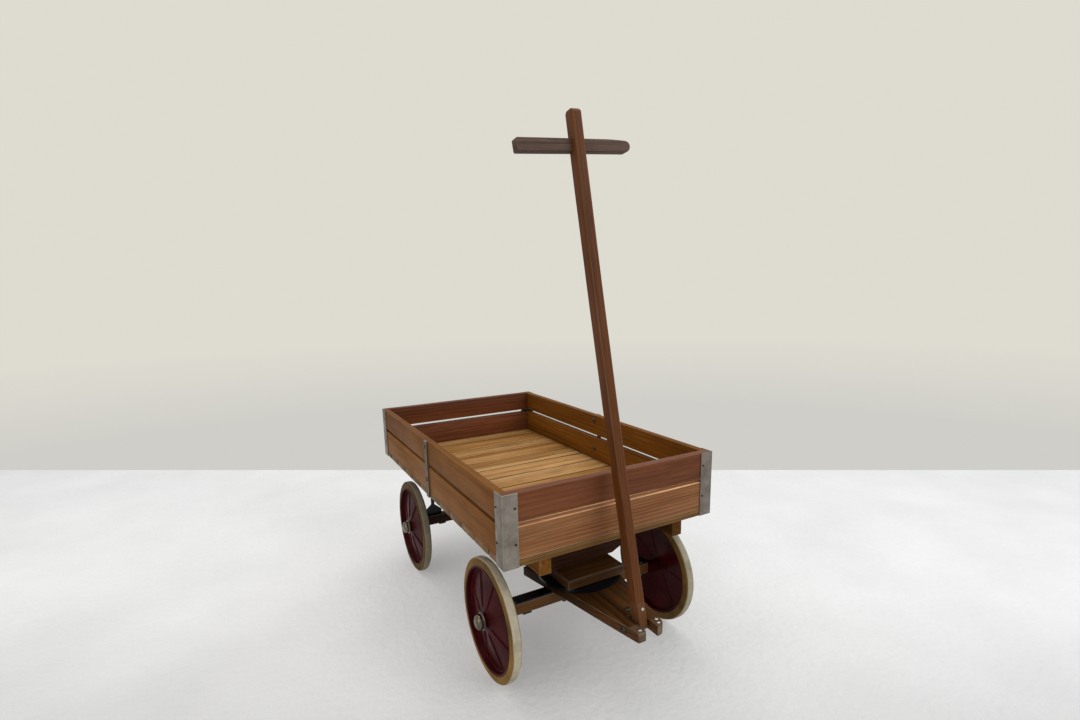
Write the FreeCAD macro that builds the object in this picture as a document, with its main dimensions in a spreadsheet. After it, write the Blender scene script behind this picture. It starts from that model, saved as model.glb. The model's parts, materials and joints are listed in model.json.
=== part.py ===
"""A child's four-wheeled wooden cart with a steered front axle and a T-shaped pull handle.

Frame: X runs across the cart, Y runs along it towards the rear, Z is up. The ground is z = 0 and
the origin is under the middle of the whole cart. All sizes are millimetres and degrees.

The box of planks stands on two rails. The rear axle hangs below the rails on two stands. The
front axle, the drawbar and a steel ring form a truck that turns on the king bolt under a second
ring, a square board and the bolster. The handle swings on a hinge bolt in the drawbar's fork.
"""
import FreeCAD, Part
import os
import re

import Sketcher

FLOOR_BOARDS = 12
DISC_RIBS = 8

SIZES = {
    # the box
    "box_length": 860, "box_width": 500,
    "floor_thick": 14, "floor_gap": 4.5,
    "lower_plank_high": 64, "plank_gap": 8, "upper_plank_high": 57,
    "side_thick": 15, "end_thick": 18,
    "angle_leg": 30, "angle_thick": 2,
    "strap_wide": 17, "strap_thick": 4, "strap_bolt_drop": 14,
    # nails, screws and bolts
    "nail_radius": 1.4, "nail_head_radius": 3.2, "nail_head_thick": 1.2, "nail_bite": 11,
    "nail_inset": 24,
    "screw_radius": 2, "screw_head_radius": 4, "screw_head_thick": 1.6, "screw_bite": 16,
    "bolt_radius": 2.5, "bolt_head_radius": 6, "bolt_head_thick": 3.5, "nut_thick": 4,
    # rails, bolster and turntable
    "rail_wide": 26, "rail_high": 34, "rail_spread": 325, "rail_inset": 5,
    "bolster_length": 350, "bolster_thick": 30, "bolster_high": 72,
    "bolster_flat": 164, "bolster_end_high": 29,
    "board_side": 146, "board_thick": 23,
    "ring_radius": 94, "ring_bore": 45, "ring_thick": 3, "ring_play": 0.2, "ring_screws": 110,
    "king_radius": 5, "king_clear": 0.08, "king_head_radius": 10, "king_head_thick": 4,
    "king_nut_radius": 9, "king_nut_thick": 8, "king_thread_end": 3,
    "washer_radius": 12, "washer_thick": 1.5,
    "board_screws": 80,
    # axles
    "front_setback": 145, "rear_setback": 165,
    "rod_radius": 5, "rod_end": 10,
    "beam_length": 380, "beam_deep": 28, "beam_high": 26,
    "iron_thick": 3, "axle_bolt_spread": 340, "bolt_gap": 0.5,
    "keeper_long": 20, "keeper_thick": 2.5, "keeper_spread": 280,
    "stand_foot": 50, "stand_neck": 9, "stand_web": 5, "stand_plate": 3, "stand_rise": 14,
    "stand_taper": 18, "stand_screw_inset": 6,
    # drawbar and hinge
    "drawbar_thick": 22, "drawbar_tail": 85, "drawbar_taper": 0.198, "fork_overhang": 111,
    "fork_wide": 64, "slot_side_gap": 3.2, "stop_gap": 0.4, "drawbar_bolt_spread": 90,
    "fork_bolt_back": 75, "ear_screw_back": 8,
    "hinge_back": 37, "hinge_radius": 4, "hinge_clear": 0.08,
    "hinge_seat": 72, "hinge_head_radius": 7.5, "hinge_head_thick": 9,
    "notch_radius": 8.5, "notch_reach": 11,
    # handle
    "handle_lean": 3.9, "handle_pitch": 7.5,
    "shaft_wide": 20, "shaft_deep": 25, "shaft_length": 961, "shaft_chamfer": 5,
    "crossbar_length": 240, "crossbar_high": 23, "crossbar_deep": 20, "crossbar_drop": 59,
    "crossbar_cant": 1.3, "crossbar_let_in": 12, "crossbar_round": 7, "handle_screw_gap": 12,
    # wheels
    "wheel_radius": 130, "wheel_track": 440,
    "tyre_wide": 21, "tread_chamfer": 4, "rim_radius": 108.5, "rim_lip": 3.5, "rim_wide": 23,
    "rim_wall": 1.5, "seat_wall": 2.5,
    "hub_radius": 14, "hub_play": 1, "hub_out": 17, "bore_clear": 0.05,
    "web_thick": 3, "web_foot": 22, "web_edge": 100, "web_out": 12, "web_in": 2,
    "rib_wide": 5, "rib_proud": 2.5,
    "cap_radius": 19, "cap_thick": 3, "cap_high": 18, "cap_tip": 7, "cap_gap": 0.3,
    "dome_radius": 16.5, "dome_side": 9, "dome_slope": 4,
}

PLACES = {
    # along the cart
    "rear_fittings": "angle_thick + nail_head_thick",
    "overall_length": "fork_overhang + box_length + rear_fittings",
    "fork_end": "-overall_length / 2",
    "box_front": "fork_end + fork_overhang",
    "box_rear": "box_front + box_length",
    "box_middle": "box_rear - box_length / 2",
    "front_axle_y": "box_front + front_setback",
    "rear_axle_y": "box_rear - rear_setback",
    "hinge_y": "fork_end + hinge_back",
    "slot_wide": "shaft_wide + 2 * slot_side_gap",
    "slot_end": "hinge_y + shaft_deep / 2 / cos(handle_pitch)"
                " + (drawbar_top - hinge_z) * tan(handle_pitch) + stop_gap",
    "board_pitch": f"(box_length + floor_gap) / {FLOOR_BOARDS}",
    # heights, from the ground up
    "axle_z": "wheel_radius",
    "beam_bottom": "axle_z - rod_radius",
    "beam_top": "beam_bottom + beam_high",
    "drawbar_bottom": "beam_top + iron_thick",
    "drawbar_top": "drawbar_bottom + drawbar_thick",
    "upper_ring_bottom": "drawbar_top + ring_thick + ring_play",
    "turntable_bottom": "upper_ring_bottom + ring_thick",
    "bolster_bottom": "turntable_bottom + board_thick",
    "rail_bottom": "bolster_bottom + bolster_high",
    "floor_bottom": "rail_bottom + rail_high",
    "floor_top": "floor_bottom + floor_thick",
    "upper_plank_bottom": "floor_top + lower_plank_high + plank_gap",
    "wall_top": "upper_plank_bottom + upper_plank_high",
    "hinge_z": "drawbar_bottom + drawbar_thick / 2",
    "bolt_offset": "rod_radius + bolt_radius + bolt_gap",
    "rod_half": "wheel_track / 2 + hub_out + cap_gap + rod_end",
}

ALONG = {
    "X": FreeCAD.Rotation(FreeCAD.Vector(0, 1, 0), 90),
    "-X": FreeCAD.Rotation(FreeCAD.Vector(0, 1, 0), -90),
    "Y": FreeCAD.Rotation(FreeCAD.Vector(1, 0, 0), -90),
    "-Y": FreeCAD.Rotation(FreeCAD.Vector(1, 0, 0), 90),
    "Z": FreeCAD.Rotation(),
    "-Z": FreeCAD.Rotation(FreeCAD.Vector(1, 0, 0), 180),
}

# the handle's own frame: its origin on the hinge, its Z along the shaft
HANDLE_FRAME = ("placement(vector(0; hinge_y; hinge_z);"
                " rotation(vector(1; 0; 0); -handle_pitch)"
                " * rotation(vector(0; 1; 0); -handle_lean))")

WORD = re.compile(r"[a-z][a-z_0-9]*")

doc = FreeCAD.newDocument("Cart")
sheet = doc.addObject("Spreadsheet::Sheet", "Sizes")
nodes = {}


def fill_sheet():
    """Write each driving size as a plain number with its alias."""
    for row, (alias, size) in enumerate(SIZES.items(), start=1):
        sheet.set(f"A{row}", alias)
        sheet.set(f"B{row}", str(size))
        sheet.setAlias(f"B{row}", alias)
    doc.recompute()


def bound(text):
    """Spell an expression out: places become their sums, sizes become cells of the sheet."""
    def spell(match):
        word = match.group(0)
        if word in PLACES:
            return "(" + bound(PLACES[word]) + ")"
        if word in SIZES:
            return "Sizes." + word
        return word
    return WORD.sub(spell, str(text))


def number(text):
    """The present value of an expression."""
    value = sheet.evalExpression(bound(text))
    return float(getattr(value, "Value", value))


def bind(thing, **expressions):
    """Bind properties of an object to expressions; a double underscore stands for a dot."""
    for name, text in expressions.items():
        thing.setExpression(name.replace("__", "."), bound(text))


def put(thing, spot, turn=None):
    """Bind the place of an object to three expressions, after an optional fixed rotation."""
    if turn is not None:
        thing.Placement = FreeCAD.Placement(FreeCAD.Vector(), turn)
    x, y, z = spot
    bind(thing, Placement__Base__x=x, Placement__Base__y=y, Placement__Base__z=z)
    return thing


def node(name, thing):
    """Record an object as a finished piece under its own name."""
    thing.Label = name
    nodes[name] = thing
    return thing


# ---- primitives and booleans ----

def block(name, size, corner):
    """A box with its lowest corner at the given place."""
    box = doc.addObject("Part::Box", name)
    bind(box, Length=size[0], Width=size[1], Height=size[2])
    return put(box, corner)


def centred(name, size, middle):
    """A box centred in X and Y on a place that gives the height of its underside."""
    corner = (f"{middle[0]} - ({size[0]}) / 2", f"{middle[1]} - ({size[1]}) / 2", middle[2])
    return block(name, size, corner)


def rod(name, radius, length, start, way="Z"):
    """A cylinder that starts at a place and runs along an axis."""
    cylinder = doc.addObject("Part::Cylinder", name)
    bind(cylinder, Radius=radius, Height=length)
    return put(cylinder, start, ALONG[way])


def fused(name, pieces):
    """The union of several objects."""
    union = doc.addObject("Part::MultiFuse", name)
    union.Shapes = pieces
    return union


def less(name, base, *tools):
    """A base object with one or more tool objects cut away."""
    cut = doc.addObject("Part::Cut", name)
    cut.Base = base
    cut.Tool = tools[0] if len(tools) == 1 else fused(name + "_tools", list(tools))
    return cut


def grouped(name, pieces):
    """Identical pieces kept together as separate solids."""
    group = doc.addObject("Part::Compound", name)
    group.Links = pieces
    return group


def ring(name, outer, inner, thick, start):
    """A flat ring about the Z axis."""
    return less(name, rod(name + "_disc", outer, thick, start),
                rod(name + "_bore", inner, thick, start))


def fastener(name, kind, face, way, grip, sunk=False):
    """A nail, screw or bolt whose head stands on a face, or lies flush in it when sunk.

    The shank runs the way that is given, grip deep below the face.
    """
    x, y, z = face
    sign = "-" if way.startswith("-") else "+"
    back = "+" if sign == "-" else "-"
    letter = way[-1]
    head_start = [x, y, z]
    if not sunk:
        place = "XYZ".index(letter)
        head_start[place] = f"{face[place]} {back} {kind}_head_thick"
    head = rod(name + "_head", f"{kind}_head_radius", f"{kind}_head_thick", head_start, way)
    shank = rod(name + "_shank", f"{kind}_radius", grip, face, way)
    return fused(name, [head, shank])


# ---- sketched bodies ----

def origin_plane(body, role):
    """The plane of a body's origin that has the given role."""
    return next(item for item in body.Origin.OriginFeatures if item.Role == role)


def outline(body, name, role, points, lift=None):
    """A closed sketch of straight lines whose corners are bound to expressions."""
    sketch = body.newObject("Sketcher::SketchObject", name)
    sketch.AttachmentSupport = [(origin_plane(body, role), "")]
    sketch.MapMode = "FlatFace"
    if lift is not None:
        sketch.setExpression("AttachmentOffset.Base.z", bound(lift))
    corners = [FreeCAD.Vector(number(across), number(up), 0) for across, up in points]
    count = len(corners)
    for index, corner in enumerate(corners):
        sketch.addGeometry(Part.LineSegment(corner, corners[(index + 1) % count]))
    for index in range(count):
        sketch.addConstraint(Sketcher.Constraint("Coincident", index, 2, (index + 1) % count, 1))
    for index, (across, up) in enumerate(points):
        for kind, text in (("DistanceX", across), ("DistanceY", up)):
            label = f"corner{index}{kind[-1]}"
            row = sketch.addConstraint(
                Sketcher.Constraint(kind, -1, 1, index, 1, number(text)))
            sketch.renameConstraint(row, label)
            sketch.setExpression("Constraints." + label, bound(text))
    return sketch


def padded(body, sketch, depth, middle=True):
    """Pad a sketch by a bound depth, to both sides of its plane or upwards from it."""
    pad = body.newObject("PartDesign::Pad", sketch.Name + "_pad")
    pad.Profile = sketch
    pad.Midplane = middle
    pad.setExpression("Length", bound(depth))
    return pad


def plate(name, role, points, depth, middle=True):
    """A body padded from one straight-sided outline."""
    body = doc.addObject("PartDesign::Body", name)
    padded(body, outline(body, name + "_outline", role, points), depth, middle)
    return body


def turned(name, points):
    """A body of revolution about X; the outline gives distance along X and radius."""
    body = doc.addObject("PartDesign::Body", name)
    sketch = outline(body, name + "_outline", "XZ_Plane", points)
    turn = body.newObject("PartDesign::Revolution", name + "_turn")
    turn.Profile = sketch
    turn.ReferenceAxis = (sketch, ["H_Axis"])
    turn.Angle = 360
    return body


# ---- the box ----

def box_nails():
    """Nails through the corner angles, and nails that hold the floor boards to the rails."""
    nails = []
    heights = ("floor_top + lower_plank_high / 2", "upper_plank_bottom + upper_plank_high / 2")
    for side, side_way in (("-", "X"), ("", "-X")):
        for end, end_way, end_in in (("box_front", "Y", "+"), ("box_rear", "-Y", "-")):
            for height in heights:
                place = f"{side}(box_width / 2 + angle_thick)"
                along = f"{end} {end_in} nail_inset"
                nails.append(fastener(f"nail{len(nails)}", "nail", (place, along, height),
                                      side_way, "angle_thick + nail_bite"))
                place = f"{side}(box_width / 2 - nail_inset)"
                along = f"{end} {'-' if end_in == '+' else '+'} angle_thick"
                nails.append(fastener(f"nail{len(nails)}", "nail", (place, along, height),
                                      end_way, "angle_thick + nail_bite"))
    for index in range(FLOOR_BOARDS):
        for side in ("-", ""):
            along = f"box_front + {index} * board_pitch + (board_pitch - floor_gap) / 2"
            nails.append(fastener(f"nail{len(nails)}", "nail",
                                  (f"{side}rail_spread / 2", along, "floor_top"),
                                  "-Z", "floor_thick + nail_bite", sunk=True))
    return node("nails", grouped("nails", nails))


def strap_bolts():
    """Two bolts with nuts through each side strap and the plank behind it."""
    pieces = []
    heights = ("wall_top - strap_bolt_drop", "floor_top + lower_plank_high / 2")
    for side, way in (("-", "X"), ("", "-X")):
        for height in heights:
            name = f"strap_bolt{len(pieces)}"
            outside = f"{side}(box_width / 2 + strap_thick)"
            bolt = fastener(name, "bolt", (outside, "box_middle", height), way,
                            "strap_thick + side_thick + nut_thick")
            inside = f"{side}(box_width / 2 - side_thick)"
            nut = rod(name + "_nut", "bolt_head_radius", "nut_thick",
                      (inside, "box_middle", height), way)
            bore = rod(name + "_thread", "bolt_radius", "nut_thick",
                       (inside, "box_middle", height), way)
            pieces += [bolt, less(name + "_ring", nut, bore)]
    return node("strap_bolts", grouped("strap_bolts", pieces))


def floor_boards(nails):
    """The boards of the floor, laid across the rails with a gap between them."""
    for index in range(FLOOR_BOARDS):
        name = f"floor_board_{index + 1}"
        board = block(name + "_blank", ("box_width", "board_pitch - floor_gap", "floor_thick"),
                      ("-box_width / 2", f"box_front + {index} * board_pitch", "floor_bottom"))
        node(name, less(name, board, nails))


def walls(nails, bolts):
    """Two planks one above the other on each side of the box."""
    courses = (("lower", "floor_top", "lower_plank_high"),
               ("upper", "upper_plank_bottom", "upper_plank_high"))
    for course, bottom, high in courses:
        for end, start in (("front", "box_front"), ("rear", "box_rear - end_thick")):
            name = f"{end}_plank_{course}"
            plank = block(name + "_blank", ("box_width", "end_thick", high),
                          ("-box_width / 2", start, bottom))
            node(name, less(name, plank, nails))
        for side, start in (("left", "-box_width / 2"), ("right", "box_width / 2 - side_thick")):
            name = f"{side}_plank_{course}"
            plank = block(name + "_blank", ("side_thick", "box_length - 2 * end_thick", high),
                          (start, "box_front + end_thick", bottom))
            node(name, less(name, plank, nails, bolts))


def corner_angles(nails):
    """An aluminium angle nailed round each upright corner of the box."""
    leg, out = "angle_leg", "-angle_thick"
    points = [(out, out), (leg, out), (leg, "0"), ("0", "0"), ("0", leg), (out, leg)]
    corners = (("front_left", 0, "-box_width / 2", "box_front"),
               ("front_right", 90, "box_width / 2", "box_front"),
               ("rear_right", 180, "box_width / 2", "box_rear"),
               ("rear_left", 270, "-box_width / 2", "box_rear"))
    for corner, quarter, x, y in corners:
        name = f"corner_angle_{corner}"
        body = plate(name + "_blank", "XY_Plane", points, "wall_top - floor_bottom", middle=False)
        put(body, (x, y, "floor_bottom"), FreeCAD.Rotation(FreeCAD.Vector(0, 0, 1), quarter))
        node(name, less(name, body, nails))


def side_straps(bolts):
    """A flat steel strap that ties the two planks of each long side together."""
    for side, start in (("left", "-box_width / 2 - strap_thick"), ("right", "box_width / 2")):
        name = f"side_strap_{side}"
        strap = block(name + "_blank", ("strap_thick", "strap_wide", "wall_top - floor_bottom"),
                      (start, "box_middle - strap_wide / 2", "floor_bottom"))
        node(name, less(name, strap, bolts))


# ---- the frame below the box ----

def frame_screws():
    """Sunk screws: rails to bolster, board to bolster, ring to board, stands and keepers."""
    screws = []

    def add(spot, way, grip):
        screws.append(fastener(f"frame_screw{len(screws)}", "screw", spot, way, grip, sunk=True))

    for side in ("-", ""):
        add((f"{side}rail_spread / 2", "front_axle_y", "floor_bottom"), "-Z",
            "rail_high + screw_bite")
        add((f"{side}board_screws / 2", "front_axle_y", "turntable_bottom"), "Z",
            "board_thick + screw_bite")
        for back in ("-", ""):
            add((f"{side}ring_screws / 2", f"front_axle_y + {back}ring_screws / 2",
                 "upper_ring_bottom"), "Z", "ring_thick + screw_bite")
            add((f"{side}rail_spread / 2", f"rear_axle_y + {back}bolt_offset",
                 "rail_bottom - stand_plate"), "Z", "stand_plate + screw_bite")
            for place in ("+", "-"):
                add((f"{side}(rail_spread / 2 {place} (stand_foot / 2 - stand_screw_inset))",
                     f"rear_axle_y + {back}bolt_offset", "beam_top + stand_plate"), "-Z",
                    "stand_plate + screw_bite")
            add((f"{side}keeper_spread / 2", f"rear_axle_y + {back}bolt_offset",
                 "beam_bottom - keeper_thick"), "Z", "keeper_thick + screw_bite / 2")
    return node("frame_screws", grouped("frame_screws", screws))


def rails(nails, screws):
    """Two rails along the cart under the floor boards."""
    for side, middle in (("left", "-rail_spread / 2"), ("right", "rail_spread / 2")):
        name = f"rail_{side}"
        rail = block(name + "_blank", ("rail_wide", "box_length - 2 * rail_inset", "rail_high"),
                     (f"{middle} - rail_wide / 2", "box_front + rail_inset", "rail_bottom"))
        node(name, less(name, rail, nails, screws))


def king_hole(name, bottom, top):
    """The running bore that a fixed piece gives the king bolt."""
    return rod(name, "king_radius + king_clear", f"{top} - ({bottom})",
               ("0", "front_axle_y", bottom))


def turntable(screws):
    """The bolster on edge under the rails, the square board and the upper ring."""
    half, flat = "bolster_length / 2", "bolster_flat / 2"
    shoulder = "bolster_high - bolster_end_high"
    points = [(f"-{flat}", "0"), (flat, "0"), (half, shoulder), (half, "bolster_high"),
              (f"-{half}", "bolster_high"), (f"-{half}", shoulder)]
    body = plate("bolster_blank", "XZ_Plane", points, "bolster_thick")
    put(body, ("0", "front_axle_y", "bolster_bottom"))
    hole = king_hole("king_hole", "turntable_bottom", "rail_bottom")
    node("bolster", less("bolster", body, screws, hole))
    board = centred("turntable_board_blank", ("board_side", "board_side", "board_thick"),
                    ("0", "front_axle_y", "turntable_bottom"))
    node("turntable_board", less("turntable_board", board, screws, hole))
    upper = ring("upper_ring_blank", "ring_radius", "ring_bore", "ring_thick",
                 ("0", "front_axle_y", "upper_ring_bottom"))
    node("upper_ring", less("upper_ring", upper, screws))


def axle_groove(name, middle):
    """The groove below an axle beam that the rod lies in."""
    half = "beam_length / 2"
    bore = rod(name + "_round", "rod_radius", "beam_length", (f"-{half}", middle, "axle_z"), "X")
    slot = centred(name + "_slot", ("beam_length", "2 * rod_radius", "rod_radius"),
                   ("0", middle, "beam_bottom"))
    return fused(name, [bore, slot])


def axle_rod(name, middle):
    """A steel rod as long as the hub caps need."""
    return node(name, rod(name, "rod_radius", "2 * (rod_half)", ("-(rod_half)", middle, "axle_z"),
                          "X"))


def keepers(name, middle, screws):
    """Two plates under a beam that hold its rod in the groove."""
    plates = []
    for side in ("-", ""):
        blank = centred(f"{name}{len(plates)}_blank", ("keeper_long", "beam_deep", "keeper_thick"),
                        (f"{side}keeper_spread / 2", middle, "beam_bottom - keeper_thick"))
        plates.append(less(f"{name}{len(plates)}", blank, screws))
    return node(name, grouped(name, plates))


def rear_stands(screws):
    """Two steel stands that carry the rear axle beam below the rails."""
    high = "rail_bottom - (beam_top)"
    foot, neck, head = "stand_foot / 2", "stand_neck / 2", "rail_wide / 2"
    points = [(f"-{foot}", "0"), (foot, "0"), (foot, "stand_rise"),
              (neck, "stand_rise + stand_taper"), (neck, f"{high} - stand_taper"),
              (head, high), (f"-{head}", high), (f"-{neck}", f"{high} - stand_taper"),
              (f"-{neck}", "stand_rise + stand_taper"), (f"-{foot}", "stand_rise")]
    stands = []
    for side in ("-", ""):
        name = f"rear_stand{len(stands)}"
        body = plate(name + "_blank", "XZ_Plane", points, "stand_web")
        for end, half, lift in (("foot", foot, "0"), ("head", head, f"{high} - stand_plate")):
            deep = "beam_deep / 2"
            corners = [(f"-{half}", f"-{deep}"), (half, f"-{deep}"), (half, deep),
                       (f"-{half}", deep)]
            sketch = outline(body, f"{name}_{end}", "XY_Plane", corners, lift)
            padded(body, sketch, "stand_plate", middle=False)
        put(body, (f"{side}rail_spread / 2", "rear_axle_y", "beam_top"))
        stands.append(less(name, body, screws))
    return node("rear_axle_stands", grouped("rear_axle_stands", stands))


def rear_axle(screws):
    """The rear beam, its rod and the plates that hold them."""
    beam = centred("rear_axle_beam_blank", ("beam_length", "beam_deep", "beam_high"),
                   ("0", "rear_axle_y", "beam_bottom"))
    node("rear_axle_beam", less("rear_axle_beam", beam, screws,
                                axle_groove("rear_groove", "rear_axle_y")))
    axle_rod("rear_axle_rod", "rear_axle_y")
    keepers("rear_axle_keepers", "rear_axle_y", screws)
    rear_stands(screws)


# ---- the steered truck ----

def through_bolt(name, x, y, top, bottom):
    """An upright bolt with its head on top and a nut below."""
    bolt = fastener(name, "bolt", (x, y, top), "-Z", f"{top} - ({bottom}) + nut_thick")
    nut = rod(name + "_nut", "bolt_head_radius", "nut_thick", (x, y, f"{bottom} - nut_thick"))
    bore = rod(name + "_thread", "bolt_radius", "nut_thick", (x, y, f"{bottom} - nut_thick"))
    return [bolt, less(name + "_ring", nut, bore)]


def truck_bolts():
    """Bolts through iron, beam and drawbar, and the sunk screws of the ring and the keepers."""
    pieces = []
    bolt_y = "front_axle_y - bolt_offset"
    for side in ("-", ""):
        pieces += through_bolt(f"axle_bolt{len(pieces)}", f"{side}axle_bolt_spread / 2", bolt_y,
                               "drawbar_bottom", "beam_bottom")
        pieces += through_bolt(f"axle_bolt{len(pieces)}", f"{side}drawbar_bolt_spread / 2",
                               bolt_y, "drawbar_top - bolt_head_thick", "beam_bottom")
        pieces.append(fastener(f"ear_screw{len(pieces)}", "screw",
                               (f"{side}(slot_wide / 2 + (fork_wide - slot_wide) / 4)",
                                "fork_end + ear_screw_back", "drawbar_top"),
                               "-Z", "screw_bite", sunk=False))
        for back in ("-", ""):
            pieces.append(fastener(f"ring_screw{len(pieces)}", "screw",
                                   (f"{side}ring_screws / 2",
                                    f"front_axle_y + {back}ring_screws / 2",
                                    "drawbar_top + ring_thick"),
                                   "-Z", "ring_thick + screw_bite", sunk=True))
            pieces.append(fastener(f"keeper_screw{len(pieces)}", "screw",
                                   (f"{side}keeper_spread / 2",
                                    f"front_axle_y + {back}bolt_offset",
                                    "beam_bottom - keeper_thick"),
                                   "Z", "keeper_thick + screw_bite / 2", sunk=True))
    pieces += through_bolt("fork_bolt", "0", "fork_end + fork_bolt_back", "drawbar_top",
                           "drawbar_bottom")
    return node("truck_bolts", grouped("truck_bolts", pieces))


def king_bolt():
    """The king bolt with its head sunk in the beam, and its washer and nut on the bolster."""
    x, y = "0", "front_axle_y"
    washer_z = "rail_bottom + ring_play"
    length = ("rail_bottom + ring_play + washer_thick + king_nut_thick + king_thread_end"
              " - (beam_top)")
    head = rod("king_head", "king_head_radius", "king_head_thick",
               (x, y, "beam_top - king_head_thick"))
    shank = rod("king_shank", "king_radius", length, (x, y, "beam_top"))
    bolt = fused("king_bolt_solid", [head, shank])
    washer = ring("king_washer", "washer_radius", "king_radius", "washer_thick",
                  (x, y, washer_z))
    nut = ring("king_nut", "king_nut_radius", "king_radius", "king_nut_thick",
               (x, y, f"{washer_z} + washer_thick"))
    node("king_bolt", grouped("king_bolt", [bolt, washer, nut]))
    return bolt


def hinge_bolt():
    """The bolt across the fork, with its head seated right and its nut seated left."""
    x = "hinge_seat / 2"
    y, z = "hinge_y", "hinge_z"
    head = rod("hinge_head", "hinge_head_radius", "hinge_head_thick", (x, y, z), "X")
    shank = rod("hinge_shank", "hinge_radius", "hinge_seat + hinge_head_thick", (x, y, z), "-X")
    nut = rod("hinge_nut_blank", "hinge_head_radius", "hinge_head_thick", (f"-{x}", y, z), "-X")
    bolt = fused("hinge_bolt_solid", [head, shank])
    node("hinge_bolt", grouped("hinge_bolt", [bolt, less("hinge_nut", nut, shank)]))
    return bolt


def drawbar(bolts, king, hinge):
    """The tapered drawbar with its fork, notched where the hinge bolt's head and nut sit."""
    spread = "drawbar_taper * (fork_overhang + front_setback + drawbar_tail) + fork_wide / 2"
    half, slot, end = "fork_wide / 2", "slot_wide / 2", "fork_end"
    tail = "front_axle_y + drawbar_tail"
    points = [(f"-({spread})", tail), (f"-{half}", end), (f"-{slot}", end),
              (f"-{slot}", "slot_end"), (slot, "slot_end"), (slot, end), (half, end),
              (spread, tail)]
    body = plate("drawbar_blank", "XY_Plane", points, "drawbar_thick", middle=False)
    put(body, ("0", "0", "drawbar_bottom"))
    tools = [bolts, king, hinge]
    for side, way in (("-", "-X"), ("", "X")):
        tools.append(rod(f"hinge_notch{way}", "notch_radius", "notch_reach",
                         (f"{side}hinge_seat / 2", "hinge_y", "hinge_z"), way))
    node("drawbar", less("drawbar", body, *tools))


def front_axle(bolts, king):
    """The front beam, the iron on it, the rod, its keepers and the lower ring."""
    beam = centred("front_axle_beam_blank", ("beam_length", "beam_deep", "beam_high"),
                   ("0", "front_axle_y", "beam_bottom"))
    node("front_axle_beam", less("front_axle_beam", beam, bolts, king,
                                 axle_groove("front_groove", "front_axle_y")))
    iron = centred("front_axle_iron_blank", ("beam_length", "beam_deep", "iron_thick"),
                   ("0", "front_axle_y", "beam_top"))
    node("front_axle_iron", less("front_axle_iron", iron, bolts, king))
    axle_rod("front_axle_rod", "front_axle_y")
    keepers("front_axle_keepers", "front_axle_y", bolts)
    lower = ring("lower_ring_blank", "ring_radius", "ring_bore", "ring_thick",
                 ("0", "front_axle_y", "drawbar_top"))
    node("lower_ring", less("lower_ring", lower, bolts))


# ---- the handle ----

def lay_on_handle(thing, across="0", back="0", up="0", axis="0; 1; 0", turn="0"):
    """Place an object at a spot in the handle's own frame, turned about an axis of that frame."""
    thing.setExpression("Placement", bound(
        f"{HANDLE_FRAME} * placement(vector({across}; {back}; {up});"
        f" rotation(vector({axis}); {turn}))"))
    return thing


def handle_screw(name, back, up):
    """A screw that runs forward through the crossbar into the shaft."""
    pieces = []
    for part, radius, length in (
            ("head", "screw_head_radius", "screw_head_thick"),
            ("shank", "screw_radius", "crossbar_deep + screw_bite / 2")):
        piece = doc.addObject("Part::Cylinder", f"{name}_{part}")
        bind(piece, Radius=radius, Height=length)
        pieces.append(lay_on_handle(piece, back=back, up=up, axis="1; 0; 0", turn="90"))
    return fused(name, pieces)


def handle(hinge_hole):
    """The leaning shaft, the crossbar let into its back, and the two screws that hold it."""
    half, bevel, top = "shaft_deep / 2", "shaft_chamfer", "shaft_length"
    shaft = plate("shaft_blank", "YZ_Plane",
                  [(f"-{half}", "0"), (half, "0"), (half, f"{top} - {bevel}"),
                   (f"{half} - {bevel}", top), (f"-{half} + {bevel}", top),
                   (f"-{half}", f"{top} - {bevel}")], "shaft_wide")
    lay_on_handle(shaft)
    heel = doc.addObject("Part::Cylinder", "shaft_heel")
    bind(heel, Radius="shaft_deep / 2", Height="shaft_wide")
    lay_on_handle(heel, across="-shaft_wide / 2", turn="90")

    reach, rise = "crossbar_length / 2", "crossbar_high / 2"
    ease, small = "crossbar_round", "crossbar_round / 3"
    crossbar = plate("crossbar_blank", "XZ_Plane",
                     [(f"-{reach} + {small}", f"-{rise}"), (f"{reach} - {ease}", f"-{rise}"),
                      (reach, f"-{rise} + {ease}"), (reach, f"{rise} - {ease}"),
                      (f"{reach} - {ease}", rise), (f"-{reach} + {small}", rise),
                      (f"-{reach}", f"{rise} - {small}"), (f"-{reach}", f"-{rise} + {small}")],
                     "crossbar_deep")
    height = "shaft_length - crossbar_drop"
    face = "shaft_deep / 2 - crossbar_let_in + crossbar_deep"
    lay_on_handle(crossbar, back=f"{face} - crossbar_deep / 2", up=height, turn="-crossbar_cant")

    screws = node("handle_screws", grouped("handle_screws", [
        handle_screw(f"handle_screw_{place}", face, f"{height} {sign} handle_screw_gap / 2")
        for place, sign in (("low", "-"), ("high", "+"))]))
    node("handle_crossbar", less("handle_crossbar", crossbar, screws))
    node("handle_shaft", less("handle_shaft", fused("shaft_solid", [shaft, heel]), crossbar,
                              screws, hinge_hole))


# ---- the wheels ----

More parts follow.
